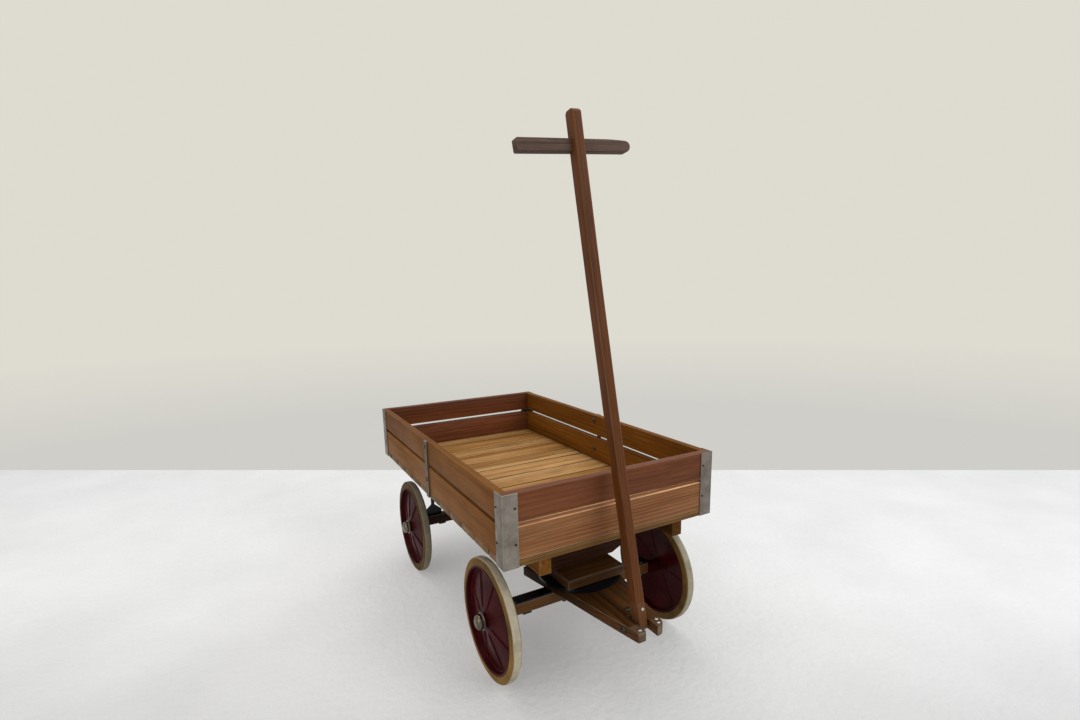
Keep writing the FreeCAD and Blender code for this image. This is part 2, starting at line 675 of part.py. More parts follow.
def wheel_disc(name):
    """A pressed steel disc: hub tube, dished web with ribs, and a channel that holds the tyre."""
    bore = "rod_radius + bore_clear"
    inner = "-(wheel_track / 2 - beam_length / 2 - hub_play)"
    seat, lip = "rim_radius", "rim_radius + rim_lip"
    hollow = "rim_radius - seat_wall"
    edge, channel = "rim_wide / 2", "rim_wide / 2 - rim_wall"
    points = [(inner, bore), ("hub_out", bore), ("hub_out", "hub_radius"),
              ("web_out", "hub_radius"), ("web_out", "web_foot"), ("-web_in", "web_edge"),
              ("-web_in", hollow), (edge, hollow), (edge, lip), (channel, lip), (channel, seat),
              (f"-({channel})", seat), (f"-({channel})", lip), (f"-{edge}", lip),
              (f"-{edge}", hollow), ("-web_in - web_thick", hollow),
              ("-web_in - web_thick", "web_edge"), ("web_out - web_thick", "web_foot"),
              ("web_out - web_thick", "hub_radius"), (inner, "hub_radius")]
    body = turned(name, points)
    turn = body.Tip
    rib = outline(body, name + "_rib", "XZ_Plane",
                  [("web_out - web_thick / 2", "web_foot"), ("web_out + rib_proud", "web_foot"),
                   ("-web_in + rib_proud", "web_edge"), ("-web_in - web_thick / 2", "web_edge")])
    pad = padded(body, rib, "rib_wide")
    doc.recompute()
    pattern = body.newObject("PartDesign::PolarPattern", name + "_ribs")
    pattern.Originals = [pad]
    pattern.Axis = (turn.Profile[0], ["H_Axis"])
    pattern.Angle = 360
    pattern.Occurrences = DISC_RIBS
    body.Tip = pattern
    return body


def wheel_tyre(name):
    """A solid rubber tyre that fills the channel of the disc."""
    half, foot = "tyre_wide / 2", "rim_wide / 2 - rim_wall"
    lip = "rim_radius + rim_lip"
    points = [(f"-({foot})", "rim_radius"), (foot, "rim_radius"), (foot, lip), (half, lip),
              (half, "wheel_radius - tread_chamfer"), (f"{half} - tread_chamfer", "wheel_radius"),
              (f"-{half} + tread_chamfer", "wheel_radius"),
              (f"-{half}", "wheel_radius - tread_chamfer"), (f"-{half}", lip),
              (f"-({foot})", lip)]
    return turned(name, points)


def hub_cap(name):
    """A flanged and domed cap with a blind bore that is pressed on the end of an axle rod."""
    points = [("0", "rod_radius"), ("0", "cap_radius"), ("cap_thick", "cap_radius"),
              ("cap_thick", "dome_radius"), ("dome_side", "dome_radius"),
              ("cap_high - dome_slope", "dome_radius - dome_slope"), ("cap_high", "cap_tip"),
              ("cap_high", "0"), ("rod_end", "0"), ("rod_end", "rod_radius")]
    return turned(name, points)


def wheels():
    """Four wheels on the rod ends, and the caps that keep them on."""
    about = {"left": FreeCAD.Rotation(FreeCAD.Vector(0, 0, 1), 180), "right": FreeCAD.Rotation()}
    for end, middle in (("front", "front_axle_y"), ("rear", "rear_axle_y")):
        caps = []
        for side, sign in (("left", "-"), ("right", "")):
            spot = (f"{sign}wheel_track / 2", middle, "axle_z")
            for kind, make in (("disc", wheel_disc), ("tyre", wheel_tyre)):
                name = f"{end}_{side}_{kind}"
                node(name, put(make(name), spot, about[side]))
            cap_spot = (f"{sign}(wheel_track / 2 + hub_out + cap_gap)", middle, "axle_z")
            caps.append(put(hub_cap(f"{end}_{side}_cap"), cap_spot, about[side]))
        node(f"{end}_hub_caps", grouped(f"{end}_hub_caps", caps))


# ---- the whole cart ----

def build():
    """Make every piece of the cart."""
    fill_sheet()
    nails = box_nails()
    bolts = strap_bolts()
    floor_boards(nails)
    walls(nails, bolts)
    corner_angles(nails)
    side_straps(bolts)

    screws = frame_screws()
    rails(nails, screws)
    turntable(screws)
    rear_axle(screws)

    truck = truck_bolts()
    king = king_bolt()
    hinge = hinge_bolt()
    drawbar(truck, king, hinge)
    front_axle(truck, king)
    hinge_hole = rod("hinge_hole", "hinge_radius + hinge_clear", "fork_wide",
                     ("-fork_wide / 2", "hinge_y", "hinge_z"), "X")
    handle(hinge_hole)
    wheels()
    doc.recompute()


def check():
    """Stop if any object failed or any piece has a null or broken shape."""
    for item in doc.Objects:
        if "Invalid" in item.State or "Error" in item.State:
            raise RuntimeError(f"{item.Label} failed: {item.State}")
    for name, item in nodes.items():
        if item.Shape.isNull() or not item.Shape.isValid() or not item.Shape.Solids:
            raise RuntimeError(f"{name} has no valid shape")


def export():
    """Write each piece to its own file and say what was written."""
    os.makedirs("parts", exist_ok=True)
    for name, item in nodes.items():
        item.Shape.exportStep(f"parts/{name}.step")
        box = item.Shape.BoundBox
        print(f"{name}: {len(item.Shape.Solids)} solid(s), {item.Shape.Volume / 1000:.1f} cm3,"
              f" x {box.XMin:.1f}..{box.XMax:.1f} y {box.YMin:.1f}..{box.YMax:.1f}"
              f" z {box.ZMin:.1f}..{box.ZMax:.1f}")


build()
check()
export()
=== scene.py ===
"""A wooden wagon with a pull handle: the visual model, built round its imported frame.

Each sub-assembly is a class with its sizes in metres, each finish is a frozen dataclass that
makes one material, and main() builds them in order. Timber carries three attributes that its
finish reads: grain (the place in the wood, along, across and deep), tone and worn.
"""
import json
import logging
import math
import random
from dataclasses import dataclass, field
from enum import Enum
from typing import Iterable, Sequence

import bmesh
import bpy
from mathutils import Matrix, Vector, noise


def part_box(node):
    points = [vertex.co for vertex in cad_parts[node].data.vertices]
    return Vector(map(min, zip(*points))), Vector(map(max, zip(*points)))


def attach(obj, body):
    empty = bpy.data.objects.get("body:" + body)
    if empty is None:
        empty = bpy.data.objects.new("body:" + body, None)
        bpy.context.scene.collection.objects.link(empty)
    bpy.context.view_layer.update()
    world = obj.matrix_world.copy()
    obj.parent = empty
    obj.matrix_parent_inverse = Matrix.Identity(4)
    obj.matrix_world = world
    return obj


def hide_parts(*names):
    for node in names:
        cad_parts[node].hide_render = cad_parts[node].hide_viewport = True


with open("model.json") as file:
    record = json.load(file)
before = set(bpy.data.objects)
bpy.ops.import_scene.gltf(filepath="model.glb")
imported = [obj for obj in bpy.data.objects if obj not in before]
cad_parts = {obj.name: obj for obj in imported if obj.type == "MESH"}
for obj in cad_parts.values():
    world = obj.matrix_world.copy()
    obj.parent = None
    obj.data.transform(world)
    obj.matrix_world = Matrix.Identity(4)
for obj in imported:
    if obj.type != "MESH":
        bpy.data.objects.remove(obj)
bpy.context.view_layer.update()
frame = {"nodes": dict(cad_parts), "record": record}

LOG = logging.getLogger("wagon")
Point = Sequence[float]
BODY_OF = {node: body for body, members in frame["record"]["behaviour"]["bodies"].items()
           for node in members}
# metres between the rings of a wave of scale one, and how far rings stay the same along the grain
WAVE_PITCH = 0.314
RING_STRETCH = (0.05, 1, 1)
# how far a slotted screw's head is sunk into the wood
SCREW_SUNK = 0.0004


class Axis(Enum):
    """A direction along the wagon's frame."""

    X = 0
    Y = 1
    Z = 2


class Head(Enum):
    """The shape of a fastener's head."""

    DOME = "dome"
    SLOTTED = "slotted"
    HEX = "hex"


class Shade(Enum):
    """How the shade of a timber changes over it."""

    EVEN = "even"
    # painted shade: floor boards are darkened where they pass under the walls and down their sides
    # in the gaps
    FLOOR = "dark where a board passes under the walls"
    # painted highlight along the top edge of the lower front plank
    LIT_TOP = "rubbed pale along the top"
    # painted shade: the drawbar darkens towards the ring, where the turntable shades it
    OILED = "dark with oil near the ring"


class Pattern(Enum):
    """A pattern in timber: its stretch along, across and deep, its octaves and its roughness."""

    BROAD = ((1.6, 16, 16), 3.0, 0.5)
    SWELL = ((0.9, 7, 7), 2.0, 0.5)
    PATCHES = ((5, 11, 11), 4.0, 0.6)
    STREAKS = ((2.2, 130, 130), 4.0, 0.65)
    FIBRES = ((14, 620, 620), 3.0, 0.6)
    PORES = ((40, 1500, 1500), 2.0, 0.5)


class Side(Enum):
    """The side of the wagon, as a sign along X."""

    LEFT = -1
    RIGHT = 1


def paint(code: str) -> tuple[float, float, float, float]:
    """Turn a hex colour into linear light.

    Args:
        code: Six hex digits.

    Returns:
        Linear red, green, blue and an alpha of one.
    """
    parts = [int(code[i:i + 2], 16) / 255 for i in (0, 2, 4)]
    linear = [p / 12.92 if p <= 0.04045 else ((p + 0.055) / 1.055) ** 2.4 for p in parts]
    return (linear[0], linear[1], linear[2], 1.0)


# ---- finishes ----

class Shader:
    """A material under construction, with short calls that add and link its nodes."""

    def __init__(self, name: str) -> None:
        """Start a material with an empty Principled skin.

        Args:
            name: The material's name.
        """
        self.material = bpy.data.materials.new(name)
        self.material.use_nodes = True
        self.nodes = self.material.node_tree.nodes
        self.links = self.material.node_tree.links
        self.skin = self.nodes["Principled BSDF"]

    def add(self, kind: str, **settings: object) -> bpy.types.ShaderNode:
        """Add a node.

        Args:
            kind: The node's type, without its ShaderNode prefix.
            settings: Properties to set on it.

        Returns:
            The new node.
        """
        made = self.nodes.new("ShaderNode" + kind)
        for key, value in settings.items():
            setattr(made, key, value)
        return made

    def feed(self, socket: bpy.types.NodeSocket, value: object) -> None:
        """Link a socket into another, or set a plain value on it.

        Args:
            socket: The socket that takes the value.
            value: A socket, a number or a colour.
        """
        if isinstance(value, bpy.types.NodeSocket):
            self.links.new(value, socket)
        else:
            socket.default_value = value

    def place(self, scale: Point = (1, 1, 1), attribute: str = "") -> bpy.types.NodeSocket:
        """Give the coordinates a pattern is laid on.

        Args:
            scale: Stretch along each direction.
            attribute: A vector attribute to read; object coordinates when empty.

        Returns:
            The scaled vector.
        """
        if attribute:
            source = self.add("Attribute", attribute_name=attribute).outputs["Vector"]
        else:
            source = self.add("TexCoord").outputs["Object"]
        mapping = self.add("Mapping")
        mapping.inputs["Scale"].default_value = scale
        self.links.new(source, mapping.inputs["Vector"])
        return mapping.outputs["Vector"]

    def level(self, attribute: str) -> bpy.types.NodeSocket:
        """Read a number attribute."""
        return self.add("Attribute", attribute_name=attribute).outputs["Fac"]

    def grit(self, place: bpy.types.NodeSocket, scale: float, detail: float = 3.0,
             rough: float = 0.5) -> bpy.types.NodeSocket:
        """Add a noise.

        Args:
            place: Where it is read.
            scale: Its fineness.
            detail: Its octaves.
            rough: The weight of the fine octaves.

        Returns:
            Its value from 0 to 1.
        """
        made = self.add("TexNoise")
        self.feed(made.inputs["Vector"], place)
        made.inputs["Scale"].default_value = scale
        made.inputs["Detail"].default_value = detail
        made.inputs["Roughness"].default_value = rough
        return made.outputs["Fac"]

    def timber(self, pattern: "Pattern") -> bpy.types.NodeSocket:
        """Lay one of the timber patterns along the grain."""
        stretch, octaves, rough = pattern.value
        return self.grit(self.place(stretch, "grain"), 1.0, octaves, rough)

    def span(self, value: bpy.types.NodeSocket, low: float, high: float, to_low: float = 0.0,
             to_high: float = 1.0) -> bpy.types.NodeSocket:
        """Map a value from one range to another, held at the ends.

        Args:
            value: The value.
            low: Where its range starts.
            high: Where its range ends.
            to_low: What the start becomes.
            to_high: What the end becomes.

        Returns:
            The mapped value.
        """
        made = self.add("MapRange")
        for place, item in enumerate((value, low, high, to_low, to_high)):
            self.feed(made.inputs[place], item)
        return made.outputs["Result"]

    def sums(self, operation: str, first: object, second: object) -> bpy.types.NodeSocket:
        """Combine two numbers.

        Args:
            operation: The name of the operation, such as MULTIPLY.
            first: A number or a socket.
            second: A number or a socket.

        Returns:
            The result.
        """
        made = self.add("Math", operation=operation)
        self.feed(made.inputs[0], first)
        self.feed(made.inputs[1], second)
        return made.outputs["Value"]

    def ramp(self, value: bpy.types.NodeSocket,
             stops: Iterable[tuple[float, str]]) -> bpy.types.NodeSocket:
        """Turn a value into a colour through several stops.

        Args:
            value: The value, 0 to 1.
            stops: The position and the hex colour of each stop, in order.

        Returns:
            The colour.
        """
        made = self.add("ValToRGB")
        elements = made.color_ramp.elements
        for count, (at, code) in enumerate(stops):
            element = elements[count] if count < 2 else elements.new(at)
            element.position = at
            element.color = paint(code)
        self.feed(made.inputs["Fac"], value)
        return made.outputs["Color"]

    def mix(self, amount: object, first: object, second: object,
            blend: str = "MIX") -> bpy.types.NodeSocket:
        """Blend two colours.

        Args:
            amount: The share of the second.
            first: A colour or socket.
            second: A colour or socket.
            blend: The way of blending.

        Returns:
            The blended colour.
        """
        made = self.add("Mix", data_type="RGBA", blend_type=blend)
        for place, item in ((0, amount), (6, first), (7, second)):
            self.feed(made.inputs[place], item)
        return made.outputs[2]

    def relief(self, height: bpy.types.NodeSocket, depth: float, strength: float = 1.0,
               below: bpy.types.NodeSocket | None = None) -> bpy.types.NodeSocket:
        """Bump the surface by a height.

        Args:
            height: The height pattern, 0 to 1.
            depth: What 1 means in metres.
            strength: The bump's share.
            below: A coarser relief it rides on.

        Returns:
            The bent normal.
        """
        made = self.add("Bump")
        made.inputs["Strength"].default_value = strength
        made.inputs["Distance"].default_value = depth
        self.feed(made.inputs["Height"], height)
        if below is not None:
            self.feed(made.inputs["Normal"], below)
        return made.outputs["Normal"]

    def wear(self, colour: object, rough: object, normal: object,
             **constants: float) -> bpy.types.Material:
        """Put colour, roughness and normal on the skin.

        Args:
            colour: A colour or a socket.
            rough: A number or a socket.
            normal: The bent normal.
            constants: Plain values by the name of their socket, with _ for each space.

        Returns:
            The finished material.
        """
        self.feed(self.skin.inputs["Base Color"], colour)
        self.feed(self.skin.inputs["Roughness"], rough)
        self.feed(self.skin.inputs["Normal"], normal)
        for key, value in constants.items():
            self.skin.inputs[key.replace("_", " ")].default_value = value
        return self.material


@dataclass(frozen=True)
class Wood:
    """A varnished or oil-finished timber, seen as a solid with growth rings and fibres.

    The rings are cylinders about the grain's own axis, so faces show stripes and ends show arcs.
    """

    name: str
    late: str
    mid: str
    early: str
    ring: float = 0.007
    figure: float = 0.6
    wander: float = 5.0
    fibre: float = 0.3
    streak: float = 0.75
    rough: float = 0.46
    coat: float = 0.015
    gloss: float = 0.4
    worn: str = "9c8266"
    worn_share: float = 0.5
    stain: str = "241711"
    stain_share: float = 0.35

    def make(self) -> bpy.types.Material:
        """Build the material.

        Returns:
            The finished wood.
        """
        s = Shader(self.name)
        rings = s.add("TexWave", wave_type="RINGS", rings_direction="X", wave_profile="SAW")
        s.feed(rings.inputs["Vector"], s.place(RING_STRETCH, "grain"))
        for socket, value in (("Scale", WAVE_PITCH / self.ring), ("Distortion", self.wander),
                              ("Detail", 3.0), ("Detail Scale", 0.35), ("Detail Roughness", 0.55)):
            rings.inputs[socket].default_value = value
        broad = s.timber(Pattern.BROAD)
        fibres = s.timber(Pattern.FIBRES)
        pores = s.timber(Pattern.PORES)
        patches = s.timber(Pattern.PATCHES)
        streaks = s.timber(Pattern.STREAKS)
        swell = s.span(s.timber(Pattern.SWELL), 0.35, 0.65, 0.25, 1.0)
        band = s.sums("MULTIPLY_ADD", rings.outputs["Fac"],
                      s.sums("MULTIPLY", swell, self.figure))
        s.feed(band.node.inputs[2], s.span(broad, 0.3, 0.7, 0.0, 1.0 - self.figure))
        colour = s.ramp(band, ((0.0, self.early), (0.55, self.mid), (0.96, self.late)))
        shade = s.span(fibres, 0.3, 0.7, 1.0 - self.fibre, 1.0 + self.fibre * 0.6)
        colour = s.mix(1.0, colour, shade, "MULTIPLY")
        colour = s.mix(s.span(streaks, 0.5, 0.72, 0.0, self.streak), colour, paint(self.late))
        colour = s.mix(s.span(patches, 0.52, 0.8, 0.0, self.stain_share), colour,
                       paint(self.stain))
        colour = s.mix(s.span(pores, 0.66, 0.74, 0.0, 0.45), colour, paint(self.stain))
        rub = s.sums("MULTIPLY", s.level("worn"), s.span(patches, 0.3, 0.62, 1.0, 0.15))
        colour = s.mix(s.sums("MULTIPLY", rub, self.worn_share), colour, paint(self.worn))
        # the tone holds each timber's own shade and, on some timbers, painted shade and a painted
        # highlight
        colour = s.mix(1.0, colour, s.level("tone"), "MULTIPLY")
        dull = s.span(patches, 0.3, 0.75, self.rough - 0.08, self.rough + 0.16)
        dull = s.sums("ADD", dull, s.span(fibres, 0.3, 0.7, -0.04, 0.05))
        relief = s.relief(s.span(rings.outputs["Fac"], 0.0, 1.0), 0.00018, 0.6)
        relief = s.relief(fibres, 0.0004, 0.45, relief)
        return s.wear(colour, dull, relief, Coat_Weight=self.coat, Coat_Roughness=0.32,
                      Specular_IOR_Level=self.gloss, IOR=1.25)


@dataclass(frozen=True)
class Metal:
    """Bare or darkened metal with scratches, tarnish and dirt."""

    name: str
    clean: str
    tarnish: str
    dirt: str
    rough: float = 0.38
    metallic: float = 1.0
    dirt_share: float = 0.5
    brushed: Point = (60, 60, 900)
    depth: float = 0.00008
    bright: str = "b9b2a6"

    def make(self) -> bpy.types.Material:
        """Build the material.

        Returns:
            The finished metal.
        """
        s = Shader(self.name)
        plain = s.place()
        clouds = s.grit(plain, 38.0, 5.0, 0.62)
        scratches = s.grit(s.place(self.brushed), 1.0, 3.0, 0.6)
        spots = s.grit(plain, 260.0, 4.0, 0.6)
        colour = s.mix(s.span(clouds, 0.35, 0.68), paint(self.clean), paint(self.tarnish))
        colour = s.mix(s.span(scratches, 0.45, 0.75, 0.0, 0.3), colour, paint(self.tarnish))
        grime = s.sums("MULTIPLY", s.span(spots, 0.55, 0.7), s.span(clouds, 0.42, 0.62))
        colour = s.mix(s.sums("MULTIPLY", grime, self.dirt_share), colour, paint(self.dirt))
        colour = s.mix(s.span(s.level("worn"), 0.0, 1.0, 0.0, 0.7), colour, paint(self.bright))
        # below zero the wear mark darkens the metal as painted shade
        colour = s.mix(1.0, colour, s.span(s.level("worn"), -1.0, 0.0, 0.5, 1.0), "MULTIPLY")
        dull = s.span(clouds, 0.3, 0.7, self.rough - 0.07, self.rough + 0.16)
        dull = s.sums("ADD", dull, s.span(scratches, 0.3, 0.7, -0.05, 0.07))
        relief = s.relief(scratches, self.depth, 0.5)
        relief = s.relief(clouds, 0.0004, 0.3, relief)
        return s.wear(colour, dull, relief, Metallic=self.metallic)


@dataclass(frozen=True)
class Enamel:
    """Old gloss paint on pressed steel, chipped and dusty where it is worn."""

    name: str
    paint: str
    deep: str
    dust: str
    bare: str

    def make(self) -> bpy.types.Material:
        """Build the material.

        Returns:
            The finished paint.
        """
        s = Shader(self.name)
        plain = s.place()
        clouds = s.grit(plain, 22.0, 5.0, 0.6)
        fine = s.grit(plain, 420.0, 3.0, 0.55)
        peel = s.grit(plain, 160.0, 2.0, 0.4)
        colour = s.mix(s.span(clouds, 0.32, 0.68), paint(self.paint), paint(self.deep))
        colour = s.mix(s.span(s.grit(plain, 9.0, 4.0), 0.5, 0.78, 0.0, 0.35), colour,
                       paint(self.dust))
        chips = s.sums("MULTIPLY", s.level("worn"), s.span(fine, 0.5, 0.6))
        colour = s.mix(s.sums("MULTIPLY", chips, 0.6), colour, paint(self.bare))
        dull = s.span(clouds, 0.3, 0.7, 0.24, 0.42)
        relief = s.relief(peel, 0.00025, 0.35)
        relief = s.relief(fine, 0.00006, 0.3, relief)
        return s.wear(colour, dull, relief, Coat_Weight=0.02, Coat_Roughness=0.08,
                      Specular_IOR_Level=0.2, IOR=1.16)


@dataclass(frozen=True)
class Rubber:
    """Aged solid rubber: a dusty pale tread between discoloured sidewalls."""

    name: str
    wall: str
    tread: str
    grime: str
    soot: str = "2a2013"

    def make(self) -> bpy.types.Material:
        """Build the material.

        Returns:
            The finished rubber.
        """
        s = Shader(self.name)
        plain = s.place()
        clouds = s.grit(plain, 26.0, 5.0, 0.65)
        crumbs = s.grit(plain, 330.0, 4.0, 0.65)
        edge = s.sums("ADD", s.level("tread"), s.span(clouds, 0.3, 0.7, -0.3, 0.3))
        colour = s.mix(s.span(edge, 0.35, 0.65), paint(self.wall), paint(self.tread))
        broad = s.grit(plain, 7.0, 3.0, 0.6)
        soot = s.sums("SUBTRACT", s.span(broad, 0.42, 0.66, 0.0, 0.75), s.level("tread"))
        colour = s.mix(s.span(soot, 0.0, 1.0), colour, paint(self.soot))
        colour = s.mix(s.span(clouds, 0.46, 0.78, 0.0, 0.55), colour, paint(self.grime))
        colour = s.mix(s.span(crumbs, 0.56, 0.7, 0.0, 0.35), colour, paint(self.grime))
        colour = s.mix(1.0, colour, s.level("tone"), "MULTIPLY")
        dull = s.span(clouds, 0.3, 0.7, 0.62, 0.85)
        relief = s.relief(clouds, 0.0012, 0.35)
        relief = s.relief(crumbs, 0.0003, 0.6, relief)
        return s.wear(colour, dull, relief, Specular_IOR_Level=0.12)


@dataclass(frozen=True)
class Plaster:
    """The pale studio floor with a faint pebbled skin, greyer from some depth on."""

    name: str = "studio_floor"
    pale: str = "d2d1cf"
    shade: str = "cac9c7"
    glow: float = 0.36
    dusk: tuple[float, float] = (1.02, 1.5)
    darkest: float = 0.8

    def make(self) -> bpy.types.Material:
        """Build the material.

        Returns:
            The floor's material.
        """
        s = Shader(self.name)
        plain = s.place()
        pebbles = s.grit(plain, 55.0, 3.0, 0.5)
        colour = s.mix(s.span(s.grit(plain, 3.0), 0.3, 0.7), paint(self.pale), paint(self.shade))
        # painted shade: the floor darkens towards the camera, by depth from its far edge
        dusk = s.span(s.level("depth"), *self.dusk, 1.0, self.darkest)
        colour = s.mix(1.0, colour, dusk, "MULTIPLY")
        self_lit = s.span(pebbles, 0.3, 0.7, 0.96, 1.0)
        s.feed(s.skin.inputs["Emission Color"], s.mix(1.0, colour, self_lit, "MULTIPLY"))
        s.skin.inputs["Emission Strength"].default_value = self.glow
        return s.wear(colour, s.span(pebbles, 0.3, 0.7, 0.7, 0.9), s.relief(pebbles, 0.006, 0.5))


Finish = Wood | Metal | Enamel | Rubber | Plaster

SIDE_WOOD = Wood("side_plank_wood", "42220a", "6f4210", "87561d", ring=0.010, figure=0.35,
                 gloss=0.15, worn="a5855a")
END_WOOD = Wood("end_plank_wood", "48230f", "6b3b20", "7f4d30", ring=0.009, figure=0.3,
                wander=4.0, worn="93714f")
# the lower front plank's pale rubbed edges show wear and also serve as a painted highlight on its
# top edge
LINED_WOOD = Wood("lined_plank_wood", "40200a", "744421", "9f704a", ring=0.0052, figure=0.7,
                  wander=2.2, worn="c0a07a", worn_share=0.7, streak=0.25)
FLOOR_WOOD = Wood("floor_board_wood", "5a3512", "a97639", "dcac70", ring=0.010, figure=0.5,
                  worn="d1ab7c", worn_share=0.5, stain="4a2c12", stain_share=0.6)
# the frame and drawbar woods are darker than their own brown, painted shade for the underside of
# the wagon
FRAME_WOOD = Wood("frame_wood", "1e0f08", "381f12", "4a2b1b", ring=0.006, gloss=0.3,
                  rough=0.58, worn="6d5647", worn_share=0.5)
TRUCK_WOOD = Wood("drawbar_wood", "2a1706", "513012", "69441e", ring=0.007, gloss=0.4,
                  rough=0.5, worn="847867", worn_share=0.6)
SHAFT_WOOD = Wood("handle_shaft_wood", "321706", "5a300f", "72421b", ring=0.005, figure=0.5,
                  fibre=0.3, worn="7c604a", worn_share=0.45)
GRIP_WOOD = Wood("crossbar_wood", "32231c", "574338", "685449", ring=0.004, figure=0.4,
                 fibre=0.32, coat=0.0, rough=0.66, worn="6f5f52", worn_share=0.5)
ALUMINIUM = Metal("corner_aluminium", "938a7e", "756c60", "4c4235", rough=0.44,
                  metallic=0.6, brushed=(700, 700, 14), dirt_share=0.35)
STRAP_STEEL = Metal("strap_steel", "5f574d", "48403a", "2c211a", rough=0.5, metallic=0.7)
NAIL_STEEL = Metal("nail_steel", "3a3530", "28221d", "17110d", rough=0.55, metallic=0.6)
BRIGHT_STEEL = Metal("screw_steel", "d6d2cb", "aaa397", "4a4036", rough=0.2, dirt_share=0.35)
DULL_STEEL = Metal("rod_steel", "5e5a54", "3e3a34", "261b13", rough=0.42)
BLACK_IRON = Metal("ring_iron", "10141a", "08090c", "1c1510", rough=0.32, metallic=0.6)
GREEN_IRON = Metal("stand_iron", "252b27", "171c19", "2a1e14", rough=0.5, metallic=0.4)
NICKEL = Metal("cap_nickel", "7c7364", "554c3f", "2c231a", rough=0.22, dirt_share=0.6,
               brushed=(300, 300, 300))
MAROON = Enamel("wheel_maroon", "430a0d", "2b0507", "3e1a17", "2c1c18")
TYRE = Rubber("tyre_rubber", "84622f", "b3a991", "4d391d")
FLOOR = Plaster()
FINISHES = (SIDE_WOOD, END_WOOD, LINED_WOOD, FLOOR_WOOD, FRAME_WOOD, TRUCK_WOOD, SHAFT_WOOD,
            GRIP_WOOD, ALUMINIUM, STRAP_STEEL, NAIL_STEEL, BRIGHT_STEEL, DULL_STEEL, BLACK_IRON,
            GREEN_IRON, NICKEL, MAROON, TYRE, FLOOR)


@dataclass
class PaintShop:
    """Makes each finish once and hands out its material."""

    stock: dict[str, bpy.types.Material] = field(default_factory=dict)

    def open(self) -> None:
        """Make every finish."""
        for finish in FINISHES:
            self.stock[finish.name] = finish.make()

    def coat(self, piece: bpy.types.Object, finish: Finish) -> None:
        """Give a piece or a frame node one finish all over."""
        piece.data.materials.clear()
        piece.data.materials.append(self.stock[finish.name])


SHOP = PaintShop()


# ---- the bench ----

